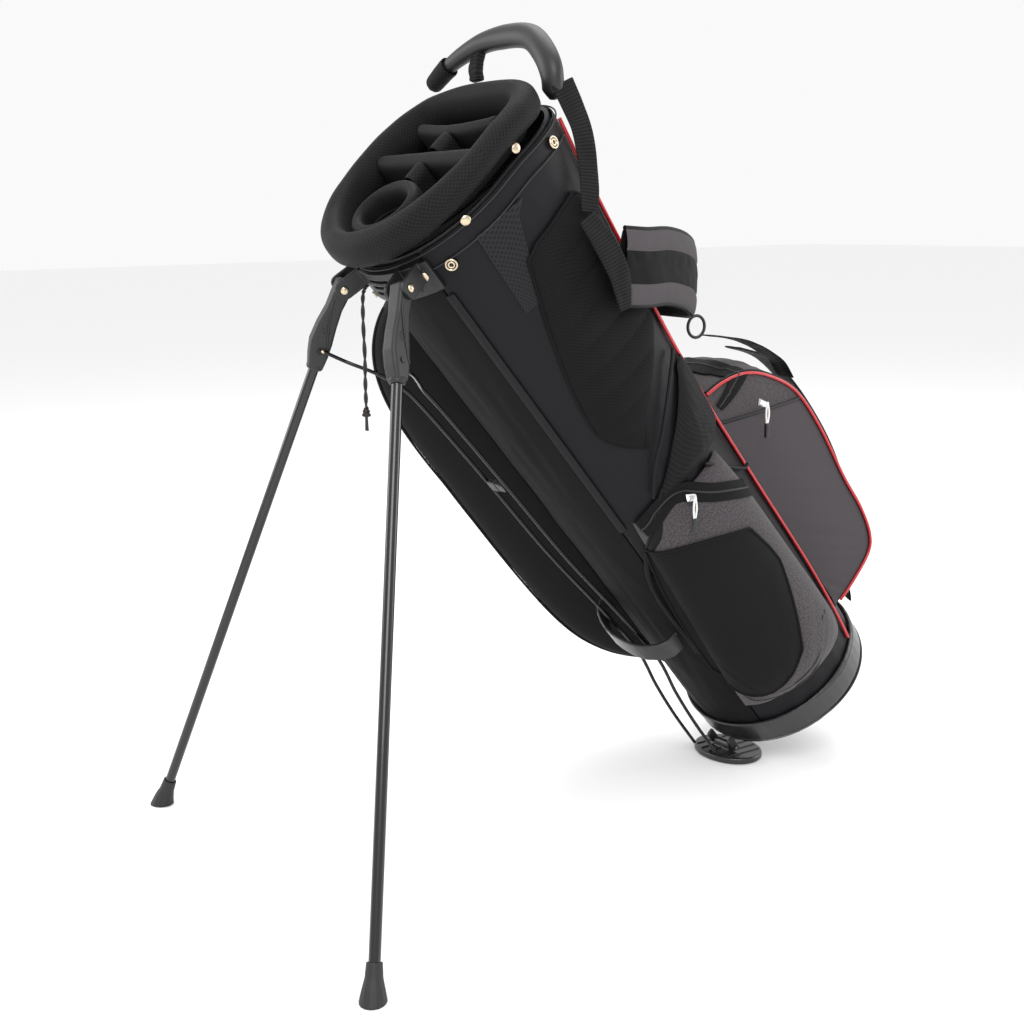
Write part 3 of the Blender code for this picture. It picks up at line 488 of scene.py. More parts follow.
cuff = sheet_of("collar_roll", lambda u, v: roll(u, 1 - v), 120, 24, spacer, 0.0018, wrap=True)
dress(cuff, "bag", "mesh_black", "collar_cuff")
lining = sheet_of("mouth_lining", lambda u, v: skin(360 * (1 - u), mix(0.640, 0.826, v), -0.0098), 90, 20,
                  ribbed, 0.0008, wrap=True)
dress(lining, "bag", "mesh_black")
for node, start, end, sag, wide in (
        ("divider_cross", (-0.1015, 0.0120), (0.1015, 0.0120), 0.0, 0.0200),
        ("divider_rear", (-0.0770, 0.0640), (0.0770, 0.0640), -0.0080, 0.0160),
        ("divider_centre_rear", (0.0, 0.0225), (0.0, 0.0470), 0.0, 0.0200),
        ("divider_centre_front", (0.0, -0.0210), (0.0, 0.0015), 0.0, 0.0200)):

    def padded_bar(u, v):
        along = Vector((end[0] - start[0], end[1] - start[1], 0)).normalized()
        p = Vector((mix(start[0], end[0], v), mix(start[1], end[1], v) + sag * sin(pi * v), 0))
        half = wide / 2
        if u < 0.35:
            side, up = half, mix(-0.034, -half, u / 0.35)
        elif u > 0.65:
            side, up = -half, mix(-half, -0.034, (u - 0.65) / 0.35)
        else:
            arc = pi * (u - 0.35) / 0.30
            side, up = half * cos(arc), -half + half * sin(arc)
        p += Vector((-along.y, along.x, 0)) * side
        puff = 0.0006 * noise.noise(Vector((v * 9, u * 4, wide * 500)))
        return (p.x, p.y, 0.859 + rim_rise(p.y) + up + puff)

    long = (Vector(end) - Vector(start)).length
    bar = sheet_of(node + "_pad", padded_bar, 20, max(8, int(long / 0.005)), spacer, 0.0016)
    dress(bar, "bag", "mesh_black", node)


def well(u, v):
    a, b, _ = spline(((-0.0070, -0.0300, 0), (-0.0080, -0.0100, 0), (-0.0055, -0.0010, 0), (0.0, 0.0022, 0),
                      (0.0055, -0.0010, 0), (0.0072, -0.0100, 0), (0.0060, -0.0300, 0)), 17)[round(v * 16)]
    turn = 2 * pi * u
    p = Vector((0.046 * cos(turn), 0.032 * sin(turn), 0))
    p += Vector((p.x / 0.046 ** 2, p.y / 0.032 ** 2, 0)).normalized() * a + Vector((0, -0.061, 0))
    return (p.x, p.y, 0.858 + rim_rise(p.y) + b)


dress(sheet_of("putter_well_roll", lambda u, v: well(u, 1 - v), 64, 16, spacer, 0.0014, wrap=True),
                "bag", "mesh_black", "putter_well_ring")
dress(sheet_of("putter_well_lining", lambda u, v: (mix(0.0385, 0.034, 1 - v) * cos(-2 * pi * u),
                                                   -0.061 + mix(0.0245, 0.021, 1 - v) * sin(-2 * pi * u),
                                                   mix(0.720, 0.842, v)), 56, 24, ribbed, 0.0010, wrap=True),
      "bag", "mesh_black")


# ---- side pocket ----
# The long pocket on the right: a grey frame, a black front panel with rounded corners and dark piping,
# a zip across its slanting top and a black mesh gusset at its leg side. All are sewn sheets.
def crown(t, power):
    return 1 - abs(2 * t - 1) ** power


def side_height(turn, z):
    v = min(1, max(0, (z - 0.080) / 0.328))
    u = min(1, max(0, (turn - mix(-56, -45, v)) / (mix(26, 22, v) - mix(-56, -45, v))))
    return 0.0330 * crown(u, 4) ** 0.6 * crown(v, 6) ** 0.7 * mix(1.0, 0.75, v)


def side_form(u, v):
    s = 0.5 - 0.5 * cos(pi * u)
    t = 0.5 - 0.5 * cos(pi * v)
    turn, z = mix(mix(-56, -45, t), mix(26, 22, t), s), mix(0.0800, 0.4080, t)
    # folds fan upwards from the lowest point
    fan = atan2(turn + 25, (z - 0.04) * 300)
    fold = 0.0022 * crease((fan * 5, z * 4), 1.0, 31.0) * max(0, 1 - (z - 0.08) / 0.16) * crown(s, 2)
    return skin(turn, z, 0.0042 + side_height(turn, z) + fold)


side = sheet_of("side_pocket_frame", side_form, 60, 80, heather, 0.0018)
dress(side, "bag", "fabric_grey", "side_pocket")


def squircle(u, v, pull=0.40):
    x, y = 2 * u - 1, 2 * v - 1
    return (0.5 + 0.5 * x * (1 - pull * y * y / 2) ** 0.5, 0.5 + 0.5 * y * (1 - pull * x * x / 2) ** 0.5)


def side_panel(u, v, lift=0.0024):
    s, t = squircle(u, v)
    z = mix(0.1130 + 0.034 * (2 * s - 1.1) ** 2, mix(0.385, 0.332, s), t)
    turn = mix(mix(-62, -50, t), mix(-9, 6, min(1, 1.6 * t) - 0.35 * max(0, t - 0.75)), s)
    fan = atan2(turn + 27, (z - 0.06) * 300)
    fold = 0.0018 * crease((fan * 6, z * 5), 1.0, 5.0) * max(0, 1 - (z - 0.10) / 0.14)
    return skin(turn, z, 0.0042 + side_height(turn, z) + lift + fold + 0.0020 * crown(u, 6) * crown(v, 6))


dress(sheet_of("side_pocket_panel", side_panel, 50, 60, black_cloth, 0.0012), "bag", "fabric_black")
edge = [side_panel(i / 20, 0) for i in range(20)] + [side_panel(1, i / 20) for i in range(20)]
edge += [side_panel(1 - i / 20, 1) for i in range(20)] + [side_panel(0, 1 - i / 20) for i in range(21)]
dress(cord_on("side_panel_piping", edge, 160, 0.0017, black_cloth), "bag", "fabric_black")


def zip_strip(name, line, wide, lift, height):
    """Black zip tape on a surface along (turn, z) places, with a fine line of teeth."""
    track = spline([(t, z, 0) for t, z in line], 41)

    def tape(u, v):
        i = round(v * 40)
        t, z, _ = track[i]
        a, b = track[max(0, i - 1)], track[min(40, i + 1)]
        run = Vector(((b.x - a.x) * 0.00204, b.y - a.y)).normalized()
        off = mix(-wide / 2, wide / 2, u)
        turn, high = t + run.y * off / 0.00204, z - run.x * off
        return skin(turn, high, height(turn, high) + lift + 0.0006 * crown(u, 2))

    dress(sheet_of(name + "_tape", tape, 8, 40, black_cloth, 0.0012), "bag", "fabric_black")
    row = [tape(0.5, k / 40) for k in range(41)]
    dress(cord_on(name + "_teeth", row, 90, 0.0013, dark_thread), "bag", "fabric_black")


zip_strip("side_zip", ((-42, 0.4000), (-17, 0.4150), (2, 0.3840), (18, 0.3520), (26, 0.3380)), 0.0200, 0.0020,
          lambda t, z: 0.0042 + side_height(t, z))


gusset_low = spline([(-58, 0.180, 0), (-59, 0.290, 0), (-50, 0.350, 0), (-38, 0.372, 0)], 41)
gusset_top = spline([(-61, 0.190, 0), (-60, 0.304, 0), (-46, 0.372, 0), (-20, 0.430, 0)], 41)


def gusset(u, v):
    low_t, low_z, _ = gusset_low[round(v * 40)]
    top_t, top_z, _ = gusset_top[round(v * 40)]
    turn, z = mix(top_t, low_t, u), mix(top_z, low_z, u)
    return skin(turn, z, 0.0048 + side_height(turn, z) * 0.9 + 0.0020 * sin(pi * u))


dress(sheet_of("side_gusset", gusset, 8, 40, spacer, 0.0012), "bag", "mesh_black")
dress(cord_on("side_gusset_piping", [gusset(0, k / 40) for k in range(41)], 90, 0.0018, black_satin), "bag",
      "fabric_black")
# the double seam of the grey frame's rounded bottom
for k, lift in enumerate((0.0, 0.0105)):
    line = [(-52 + lift * 300, 0.150), (-45, 0.106 + lift), (-26, 0.090 + lift), (-6, 0.100 + lift),
            (12 - lift * 300, 0.150)]
    seam = [skin(t, z, 0.0052 + side_height(t, z)) for t, z in line]
    dress(cord_on("side_frame_seam_%d" % k, seam, 60, 0.0008, dark_thread), "bag", "fabric_black")


# ---- bottle sleeve and hip pad ----
# A stretch-mesh sleeve with a bound mouth above the side pocket, and a quilted mesh pad for the hip.
# Both are sheets swelling from the tube; the pad is stuffed and sewn across in shallow channels.
def sleeve(u, v):
    turn = mix(mix(-26, 30, v), 42, u)
    z = mix(0.4200, 0.5200, v)
    high = 0.0150 * crown(u, 3) * max(0.0, 1 - v) ** 0.6 * min(1, 0.25 + v * 5)
    fold = 0.0012 * crease((turn / 9, z * 18), 1.0, 44.0) * crown(u, 2)
    return skin(turn, z, 0.0046 + high + fold)


dress(sheet_of("bottle_sleeve_mesh", sleeve, 40, 30, spacer, 0.0016), "bag", "mesh_black", "bottle_sleeve")
for word, line in (("mouth", [(-27, 0.428), (-16, 0.462), (-1, 0.490), (21, 0.530), (31, 0.540)]),
                   ("side", [(8, 0.414), (20, 0.384), (34, 0.352), (41, 0.345)])):
    bound = [skin(t, z, 0.0085) for t, z in line]
    dress(cord_on("sleeve_binding_" + word, bound, 60, 0.0022, black_satin), "bag", "fabric_black")


def hip(u, v):
    low_left = mix(-14, -32, min(1, v / 0.18))
    left = mix(low_left, mix(-32, -10, max(0, (v - 0.25) / 0.75) ** 1.5), min(1, v / 0.3))
    right_edge = mix(-6, 31, min(1, 3.2 * v)) - 9 * max(0, (v - 0.85) / 0.15) ** 2
    turn = mix(left, right_edge, u)
    z = mix(0.4840 + 0.030 * u, 0.7600 - 0.016 * (1 - u) ** 2, v)
    quilt = 0.72 + 0.28 * abs(sin(pi * (z - 0.480) / 0.0300)) ** 0.5
    return skin(turn, z, 0.0034 + 0.0105 * (crown(u, 4) * crown(v, 5)) ** 0.5 * quilt)


pad_mesh = cloth("pad_mesh", (0.0060, 0.0060, 0.0068), "holes", 0.0030, 0.8, 0.7, (0.0020, 0.0020, 0.0022))
hip_cover = sheet_of("hip_pad_cover", hip, 44, 100, pad_mesh, 0.0016)
dress(hip_cover, "bag", "mesh_black", "hip_pad")
edge = [hip(1, i / 16) for i in range(16)] + [hip(1 - i / 10, 1) for i in range(10)]
edge += [hip(0, 1 - i / 16) for i in range(16)] + [hip(i / 10, 0) for i in range(11)]
dress(cord_on("hip_pad_binding", edge, 160, 0.0020, black_cloth), "bag", "fabric_black")


# ---- apparel pocket ----
# The long black clothing pocket on the left, boxy and softly creased, with a zip down its outer edge.
# It is one sewn sheet standing off the tube, and a tape with teeth laid on it.
def apparel_height(u, v):
    return 0.1040 * crown(u, 12) * (0.45 + 0.55 * u) * crown(v, 5) ** 0.8


def apparel(u, v):
    s, t = 0.5 - 0.5 * cos(pi * u), 0.5 - 0.5 * cos(pi * v)
    turn, z = mix(150 + 12 * (1 - t), 236 - 2 * t, s), mix(0.1150, 0.7400, t)
    fold = 0.0030 * crease((turn / 16, z * 9), 1.0, 71.0) * crown(s, 2) * crown(t, 4)
    return skin(turn, z, 0.0042 + apparel_height(s, t) - fold)


dress(sheet_of("apparel_pocket_cloth", apparel, 50, 90, black_cloth, 0.0018), "bag", "fabric_black",
      "apparel_pocket")
edge_line = [apparel(0.80, 0.06 + 0.88 * i / 24) + Vector((-0.0010, -0.0010, 0)) for i in range(25)]
dress(cord_on("apparel_edge_piping", edge_line, 90, 0.0016, black_satin), "bag", "fabric_black")


def apparel_zip(u, v):
    turn, z = mix(197.6, 202.4, u), mix(0.250, 0.650, v)
    t = (z - 0.1150) / 0.625
    s = (turn - (150 + 12 * (1 - t))) / (236 - 2 * t - (150 + 12 * (1 - t)))
    return skin(turn, z, 0.0052 + apparel_height(s, t))


dress(sheet_of("apparel_zip_tape", apparel_zip, 6, 50, black_satin, 0.0012), "bag", "fabric_black")
row = [apparel_zip(0.5, i / 30) for i in range(31)]
dress(cord_on("apparel_zip_teeth", row, 90, 0.0013, dark_thread), "bag", "fabric_black")


# ---- ball pocket ----
# The big grey pocket behind: a wrinkled heather upper, a smoother plain lower, flat sides meeting a
# bulging outer face at red piping. The two cloths are sheets over one boxy form, sewn along a slanting seam.
# (distance out, height) up the outer face, from the bottom seam to the top one
profile = spline([(0.079, 0.079, 0), (0.113, 0.081, 0), (0.161, 0.091, 0), (0.180, 0.110, 0),
                  (0.189, 0.150, 0), (0.191, 0.204, 0), (0.199, 0.288, 0), (0.196, 0.351, 0),
                  (0.175, 0.396, 0), (0.150, 0.424, 0), (0.118, 0.440, 0), (0.083, 0.447, 0)], 121)
seam_at = 74 / 120


def ball(u, v):
    """u 0 at the right body seam, 1 at the left one; v 0 at the bottom, 1 at the top."""
    out, high, _ = profile[min(120, max(0, round(v * 120)))]
    base = mix(0.079, 0.407, v / seam_at) if v < seam_at else mix(0.407, 0.447, (v - seam_at) / (1 - seam_at))
    side = 1 if u < 0.5 else -1
    w = min(1.0, (u if u < 0.5 else 1 - u) / 0.26)
    root = skin(46 if side > 0 else 134, base, 0.003)
    corner = Vector((0.0820 * side, out, high))
    swell = max(0.0, (out - 0.083) / 0.116)
    if w < 1:
        p = root.lerp(corner, w)
        p.x += side * 0.0060 * sin(pi * w) * swell
        drape = crease((out * 22 + high * 8, high * 9), 1.0, 5.0 + side)
        p.x -= side * (0.0030 if v > seam_at else 0.0016) * drape * sin(pi * w)
    else:
        s = (u - 0.26) / 0.48
        bulge = 0.0240 * crown(s, 2.4) * swell ** 1.5
        p = Vector((mix(0.0820, -0.0820, s), out + bulge, high + bulge * (0.35 if v > 0.72 else 0.0)))
        deep = 0.0032 if v > seam_at else 0.0016
        p.y -= deep * crease((s * 4, high * 11), 1.0, 12.0) * crown(s, 4) * swell
    return p


lower_cloth = sheet_of("ball_pocket_plain", lambda u, v: ball(u, v * (seam_at - 0.004)), 96, 74, plain_grey,
                       0.0018)
dress(lower_cloth, "bag", "fabric_grey", "ball_pocket_lower")
upper_cloth = sheet_of("ball_pocket_heather", lambda u, v: ball(u, mix(seam_at, 1, v)), 96, 46, heather,
                       0.0018)
dress(upper_cloth, "bag", "fabric_grey", "ball_pocket_upper")
seam = [ball(i / 60, seam_at) + Vector((0.001 if i < 30 else -0.001, 0.0008, 0)) for i in range(61)]
dress(cord_on("ball_pocket_seam", seam, 180, 0.0015, dark_thread), "bag", "fabric_black")
for word, side, u in (("right", 1, 0.26), ("left", -1, 0.74)):
    rim_line = [ball(u, v / 60) + Vector((0.0014 * side, 0.0014, 0)) for v in range(2, 60)]
    dress(cord_on("ball_piping_" + word, rim_line, 160, 0.0019, red_vinyl), "bag", "piping_red")
    inner_line = [p + Vector((-0.0040 * side, 0.0022, 0)) for p in rim_line]
    dress(cord_on("ball_binding_" + word, inner_line, 160, 0.0026, black_satin), "bag", "fabric_black")


def ball_tape(u, v):
    # the zip arches over the upper part from side to side
    t = mix(0.03, 0.97, v)
    level = mix(0.755, 0.86, crown(t, 2.5)) + mix(-0.040, 0.040, u)
    return ball(t, level) + Vector((0.0016 * (1 if t < 0.26 else -1 if t > 0.74 else 0), 0.0010, 0.0012))


dress(sheet_of("ball_zip_tape", ball_tape, 8, 90, black_cloth, 0.0012), "bag", "fabric_black")
row = [ball_tape(0.5, i / 60) + Vector((0, 0.0008, 0.0008)) for i in range(61)]
dress(cord_on("ball_zip_teeth", row, 180, 0.0014, dark_thread), "bag", "fabric_black")


# ---- webbing and strap ----
# Ribbed nylon webbing ties the strap to the handle and the pocket; a grab handle runs down the ball pocket.
# Each is a flat woven band swept along its route.
webbing = cloth("webbing", (0.0090, 0.0090, 0.0098), "ribs", 0.0036, 0.6, 0.9, (0.0025, 0.0025, 0.0028))


def band(name, places, side, wide, thick, material, columns=8, rows=60, taper=None):
    track = spline(places, rows + 1)

    def at(u, v):
        i = round(v * rows)
        along = (track[min(rows, i + 1)] - track[max(0, i - 1)]).normalized()
        across = Vector(side).normalized()
        across = (across - along * across.dot(along)).normalized()
        face = along.cross(across)
        span = wide * (taper(v) if taper else 1.0)
        wave = 0.0012 * noise.noise(Vector((v * 6, u * 2, wide * 700)))
        return track[i] + across * span * (0.5 - u) + face * (thick / 2 + wave)

    return sheet_of(name, at, columns, rows, material, thick)


dress(band("near_webbing", ((0.1040, 0.1360, 0.8480), (0.1120, 0.1230, 0.8050), (0.1220, 0.0980, 0.7700),
                            (0.1370, 0.0620, 0.7390)), (0, 0.94, -0.34), 0.0290, 0.0018, webbing,
           taper=lambda v: 1 - 0.30 * v), "bag", "webbing_black", "strap_webbing_near")
dress(band("far_webbing", ((-0.0200, 0.1420, 0.8200), (-0.0240, 0.1500, 0.7600), (-0.0280, 0.1620, 0.6900),
                           (-0.0340, 0.1640, 0.6560)), (1, 0, 0), 0.0300, 0.0018, webbing), "bag",
      "webbing_black", "strap_webbing_far")
dress(band("lower_webbing", ((0.0300, 0.1660, 0.4660), (0.0300, 0.1950, 0.4350), (0.0280, 0.2160, 0.4040),
                             (0.0260, 0.2330, 0.3640), (0.0250, 0.2340, 0.3340)), (1, 0, 0), 0.0300, 0.0018,
           webbing), "bag", "webbing_black", "strap_webbing_lower")
dress(band("grab_handle", ((-0.0200, 0.2180, 0.3950), (-0.0200, 0.2500, 0.3450), (-0.0200, 0.2630, 0.2700),
                           (-0.0200, 0.2600, 0.1800), (-0.0200, 0.2440, 0.1200), (-0.0200, 0.2110, 0.0880)),
           (1, 0, 0), 0.0300, 0.0026, webbing), "bag", "webbing_black", "spine_grab_handle")


def base_tab(u, v):
    place = Vector((0.040, 0.1325, 0.042)) + Vector((0.94, -0.34, 0)) * mix(0.011, -0.011, u)
    place += Vector((0, 0.34, 0.94)) * mix(-0.014, 0.014, v)
    return place + Vector((0.3, 0.9, 0)) * 0.002 * sin(pi * v)


dress(sheet_of("base_tab", base_tab, 6, 10, webbing, 0.0024), "bag", "webbing_black", "rear_tab")

# the shoulder pad: grey edges, a black middle band and black mesh inside, bent to a wide U
grey_edge = cloth("strap_grey", (0.062, 0.056, 0.060), "weave", 0.0018, 0.75, 0.25)
pad_route = [(0.1460, 0.0540, 0.6740), (0.1410, 0.0800, 0.6500), (0.1230, 0.1140, 0.6220),
             (0.0950, 0.1470, 0.5850), (0.0560, 0.1720, 0.5480), (0.0180, 0.1790, 0.5400),
             (-0.0120, 0.1740, 0.5460), (-0.0400, 0.1600, 0.5600)]
pad_side = lean.transposed() @ Vector((0, 0, 1))
pad_track = spline(pad_route, 81)


def strap_pad(u, v, outer=1.0):
    i = round(v * 80)
    along = (pad_track[min(80, i + 1)] - pad_track[max(0, i - 1)]).normalized()
    across = (pad_side - along * pad_side.dot(along)).normalized()
    face = across.cross(along)
    puff = 0.0060 * crown(u, 3) ** 0.6
    groove = 0.0016 * max(0, 1 - abs(abs(u - 0.5) - 0.22) / 0.02)
    wrinkle = 0.0016 * crease((v * 9, u * 2), 1.0, 60.0) * crown(u, 2)
    off = -(puff - groove - wrinkle) if outer > 0 else (puff - wrinkle)
    return pad_track[i] + across * 0.0800 * (u - 0.5) + face * off


pad_cover = sheet_of("shoulder_pad_cover", strap_pad, 28, 80, (grey_edge, black_cloth), 0.0012,
                     stripe=lambda u, v: 1 if abs(u - 0.5) < 0.22 else 0)
dress(pad_cover, "bag", "fabric_grey", "shoulder_pad")
pad_lining = sheet_of("shoulder_pad_lining", lambda u, v: strap_pad(1 - u, v, -1.0), 28, 80, pad_mesh, 0.0012)
dress(pad_lining, "bag", "mesh_black")
for word, u in (("upper", 1.0), ("lower", 0.0)):
    edge = [strap_pad(u, i / 40) for i in range(41)]
    dress(cord_on("shoulder_pad_edge_" + word, edge, 120, 0.0026, black_satin), "bag", "fabric_black")


# ---- carry handle ----
# A moulded satin arch that rises behind the rim, thinning to the left, with a mesh boot on its left end.
# A round bar swept along the arch; the little post under it and the boot are separate shapes.
satin = gloss("satin_plastic", (0.0080, 0.0080, 0.0090), 0.46, 0.0, 0.0, 0.25, 700)
arch = spline(((0.0900, 0.1250, 0.8360), (0.0940, 0.1380, 0.8600), (0.0740, 0.1550, 0.8760),
               (0.0400, 0.1710, 0.8850), (0.0000, 0.1730, 0.8890), (-0.0420, 0.1650, 0.8900),
               (-0.0850, 0.1460, 0.8840), (-0.1220, 0.1240, 0.8700)), 81)


def handle(u, v, grow=0.0):
    i = round(v * 80)
    along = (arch[min(80, i + 1)] - arch[max(0, i - 1)]).normalized()
    up = Vector((0, -0.45, 0.89))
    up = (up - along * up.dot(along)).normalized()
    across = along.cross(up)
    tall = 0.0110 - 0.0045 * max(0, (v - 0.72) / 0.28) + grow
    wide = 0.0135 - 0.0070 * max(0, (v - 0.60) / 0.40) + grow
    end = min(1, 0.35 + 14 * v, 0.35 + 30 * (1 - v))
    return arch[i] + across * wide * end * cos(-2 * pi * u) + up * tall * end * sin(-2 * pi * u)


dress(sheet_of("handle_arch", handle, 36, 80, satin, 0.0030, wrap=True, smooth=0), "bag", "moulded_black",
      "carry_handle")
boot = sheet_of("handle_boot", lambda u, v: handle(u, mix(0.88, 1.0, v), 0.0034), 36, 14, spacer, 0.0016,
                wrap=True)
dress(boot, "bag", "mesh_black")
dress(band("handle_post", ((-0.0400, 0.1330, 0.8640), (-0.0420, 0.1440, 0.8760), (-0.0440, 0.1600, 0.8860)),
           (1, 0, 0), 0.0180, 0.0100, ribbed, 6, 12), "bag", "mesh_black")

# the ribbed webbing that folds over the pad's end, below the slide buckle
dress(band("adjuster_fold", ((0.1400, 0.0540, 0.7400), (0.1480, 0.0500, 0.7100), (0.1560, 0.0400, 0.6750),
                             (0.1520, 0.0260, 0.6400)), (0, 0.94, -0.34), 0.0300, 0.0030, webbing,
           taper=lambda v: 0.75 + 0.35 * sin(pi * v) - 0.25 * v), "bag", "webbing_black", "strap_adjuster")


# ---- leg bracket and knuckles ----
# Dark moulded nylon: a slotted bracket screwed under the collar, with an ear each side for a leg's knuckle.
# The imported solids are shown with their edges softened; rivets, screws, ribs and the eyelet are added.
nylon = gloss("moulded_nylon", (0.0080, 0.0084, 0.0094), 0.50, 0.0, 0.0, 0.3, 900)
brass = gloss("champagne_metal", (0.62, 0.52, 0.38), 0.28, 1.0, 0.0, 0.1, 300)
nickel = gloss("nickel_metal", (0.55, 0.55, 0.56), 0.25, 1.0, 0.0, 0.1, 300)
dark_metal = gloss("dark_metal", (0.030, 0.030, 0.032), 0.35, 1.0, 0.0, 0.1, 300)
for node, size in (("stand_bracket", 0.0008), ("knuckle_left", 0.0008), ("knuckle_right", 0.0008),
                   ("rod_guide_band", 0.0010), ("base_cup", 0.0016), ("foot_plate", 0.0009),
                   ("rod_clip_socket", 0.0005), ("rod_clip_prong", 0.0005), ("plate_lug_left", 0.0006),
                   ("plate_lug_right", 0.0006), ("leg_foot_left", 0.0007), ("leg_foot_right", 0.0007),
                   ("strap_ring", 0.0005)):
    moulding = bpy.data.objects[node]
    moulding.data.materials.clear()
    moulding.data.materials.append(nylon)
    even = moulding.modifiers.new("even", "REMESH")
    even.mode = "VOXEL"
    even.voxel_size = size
    even.use_smooth_shade = True
    soft = moulding.modifiers.new("soft", "SMOOTH")
    soft.factor = 0.5
    soft.iterations = 5
for node in ("leg_pin_left", "leg_pin_right", "plate_pin", "zip_slider_ball", "zip_slider_side",
             "zip_slider_apparel", "snap_upper", "snap_lower", "rivet_upper", "rivet_side"):
    metal = bpy.data.objects[node]
    metal.data.materials.clear()
    metal.data.materials.append(nickel if node.startswith("zip") or node.startswith("plate") else brass)


def hard(name, body, slot, finish, location, facing, *nodes, size=(1, 1, 1), smooth=True):
    """Finish the primitive just made: size, turn and place it, and let it ride on a body."""
    obj = bpy.context.object
    obj.name = name
    obj.scale = size
    obj.rotation_euler = Vector(facing).to_track_quat("Z", "Y").to_euler()
    obj.location = location
    bpy.ops.object.transform_apply(location=True, rotation=True, scale=True)
    if smooth:
        bpy.ops.object.shade_smooth_by_angle(angle=radians(40))
    obj.data.materials.append(finish)
    bpy.ops.object.select_all(action="DESELECT")
    return dress(obj, body, slot, *nodes)


# domed rivets and ring snaps: a low dome each, the snaps with two rings and a dark centre
for name, turn, z, ringed in (("snap_upper", 26.6, 0.8130, True), ("snap_lower", -42.4, 0.7890, True),
                              ("rivet_upper", 7, 0.8400, False), ("rivet_side", -24, 0.8200, False),
                              ("bracket_rivet", -57.8, 0.7910, False)):
    at = put(skin(turn, z, 0.0034 if name != "bracket_rivet" else 0.0066))
    facing = lean @ (skin(turn, z, 0.001) - skin(turn, z)).normalized()
    nodes = () if name == "bracket_rivet" else (name,)
    if ringed:
        bpy.ops.mesh.primitive_torus_add(major_radius=0.0058, minor_radius=0.0011, major_segments=40)
        hard(name + "_rim", "bag", "nickel", brass, at, facing, *nodes)
        bpy.ops.mesh.primitive_torus_add(major_radius=0.0030, minor_radius=0.0010, major_segments=32)
        hard(name + "_ring", "bag", "nickel", brass, at, facing)
        bpy.ops.mesh.primitive_uv_sphere_add(radius=0.0055, segments=32, ring_count=12)
        hard(name + "_seat", "bag", "nickel", dark_metal, at - facing * 0.0006, facing, size=(1, 1, 0.16))
    else:
        bpy.ops.mesh.primitive_uv_sphere_add(radius=0.0056, segments=32, ring_count=16)
        hard(name + "_dome", "bag", "nickel", brass, at - facing * 0.0008, facing, *nodes, size=(1, 1, 0.42))

# the bracket's screw and eyelet, and the raised ribs on its right wing
at = put(skin(-69, 0.784, 0.0070))
facing = lean @ (skin(-69, 0.784, 0.001) - skin(-69, 0.784)).normalized()
bpy.ops.mesh.primitive_torus_add(major_radius=0.0042, minor_radius=0.0012, major_segments=32)
hard("bracket_screw", "bag", "moulded_black", dark_metal, at, facing)
at = put(skin(-106, 0.7760, 0.0075))
facing = lean @ (skin(-106, 0.776, 0.001) - skin(-106, 0.776)).normalized()
bpy.ops.mesh.primitive_torus_add(major_radius=0.0032, minor_radius=0.0009, major_segments=32)
hard("cord_eyelet", "bag", "nickel", brass, at, facing)
for k in range(2):
    line = [skin(-70 + 5.5 * k + 9 * t / 6, 0.7760 + 0.0240 * t / 6, 0.0062) for t in range(7)]
    dress(cord_on("bracket_rib_%d" % k, line, 14, 0.0013, nylon), "bag", "moulded_black")


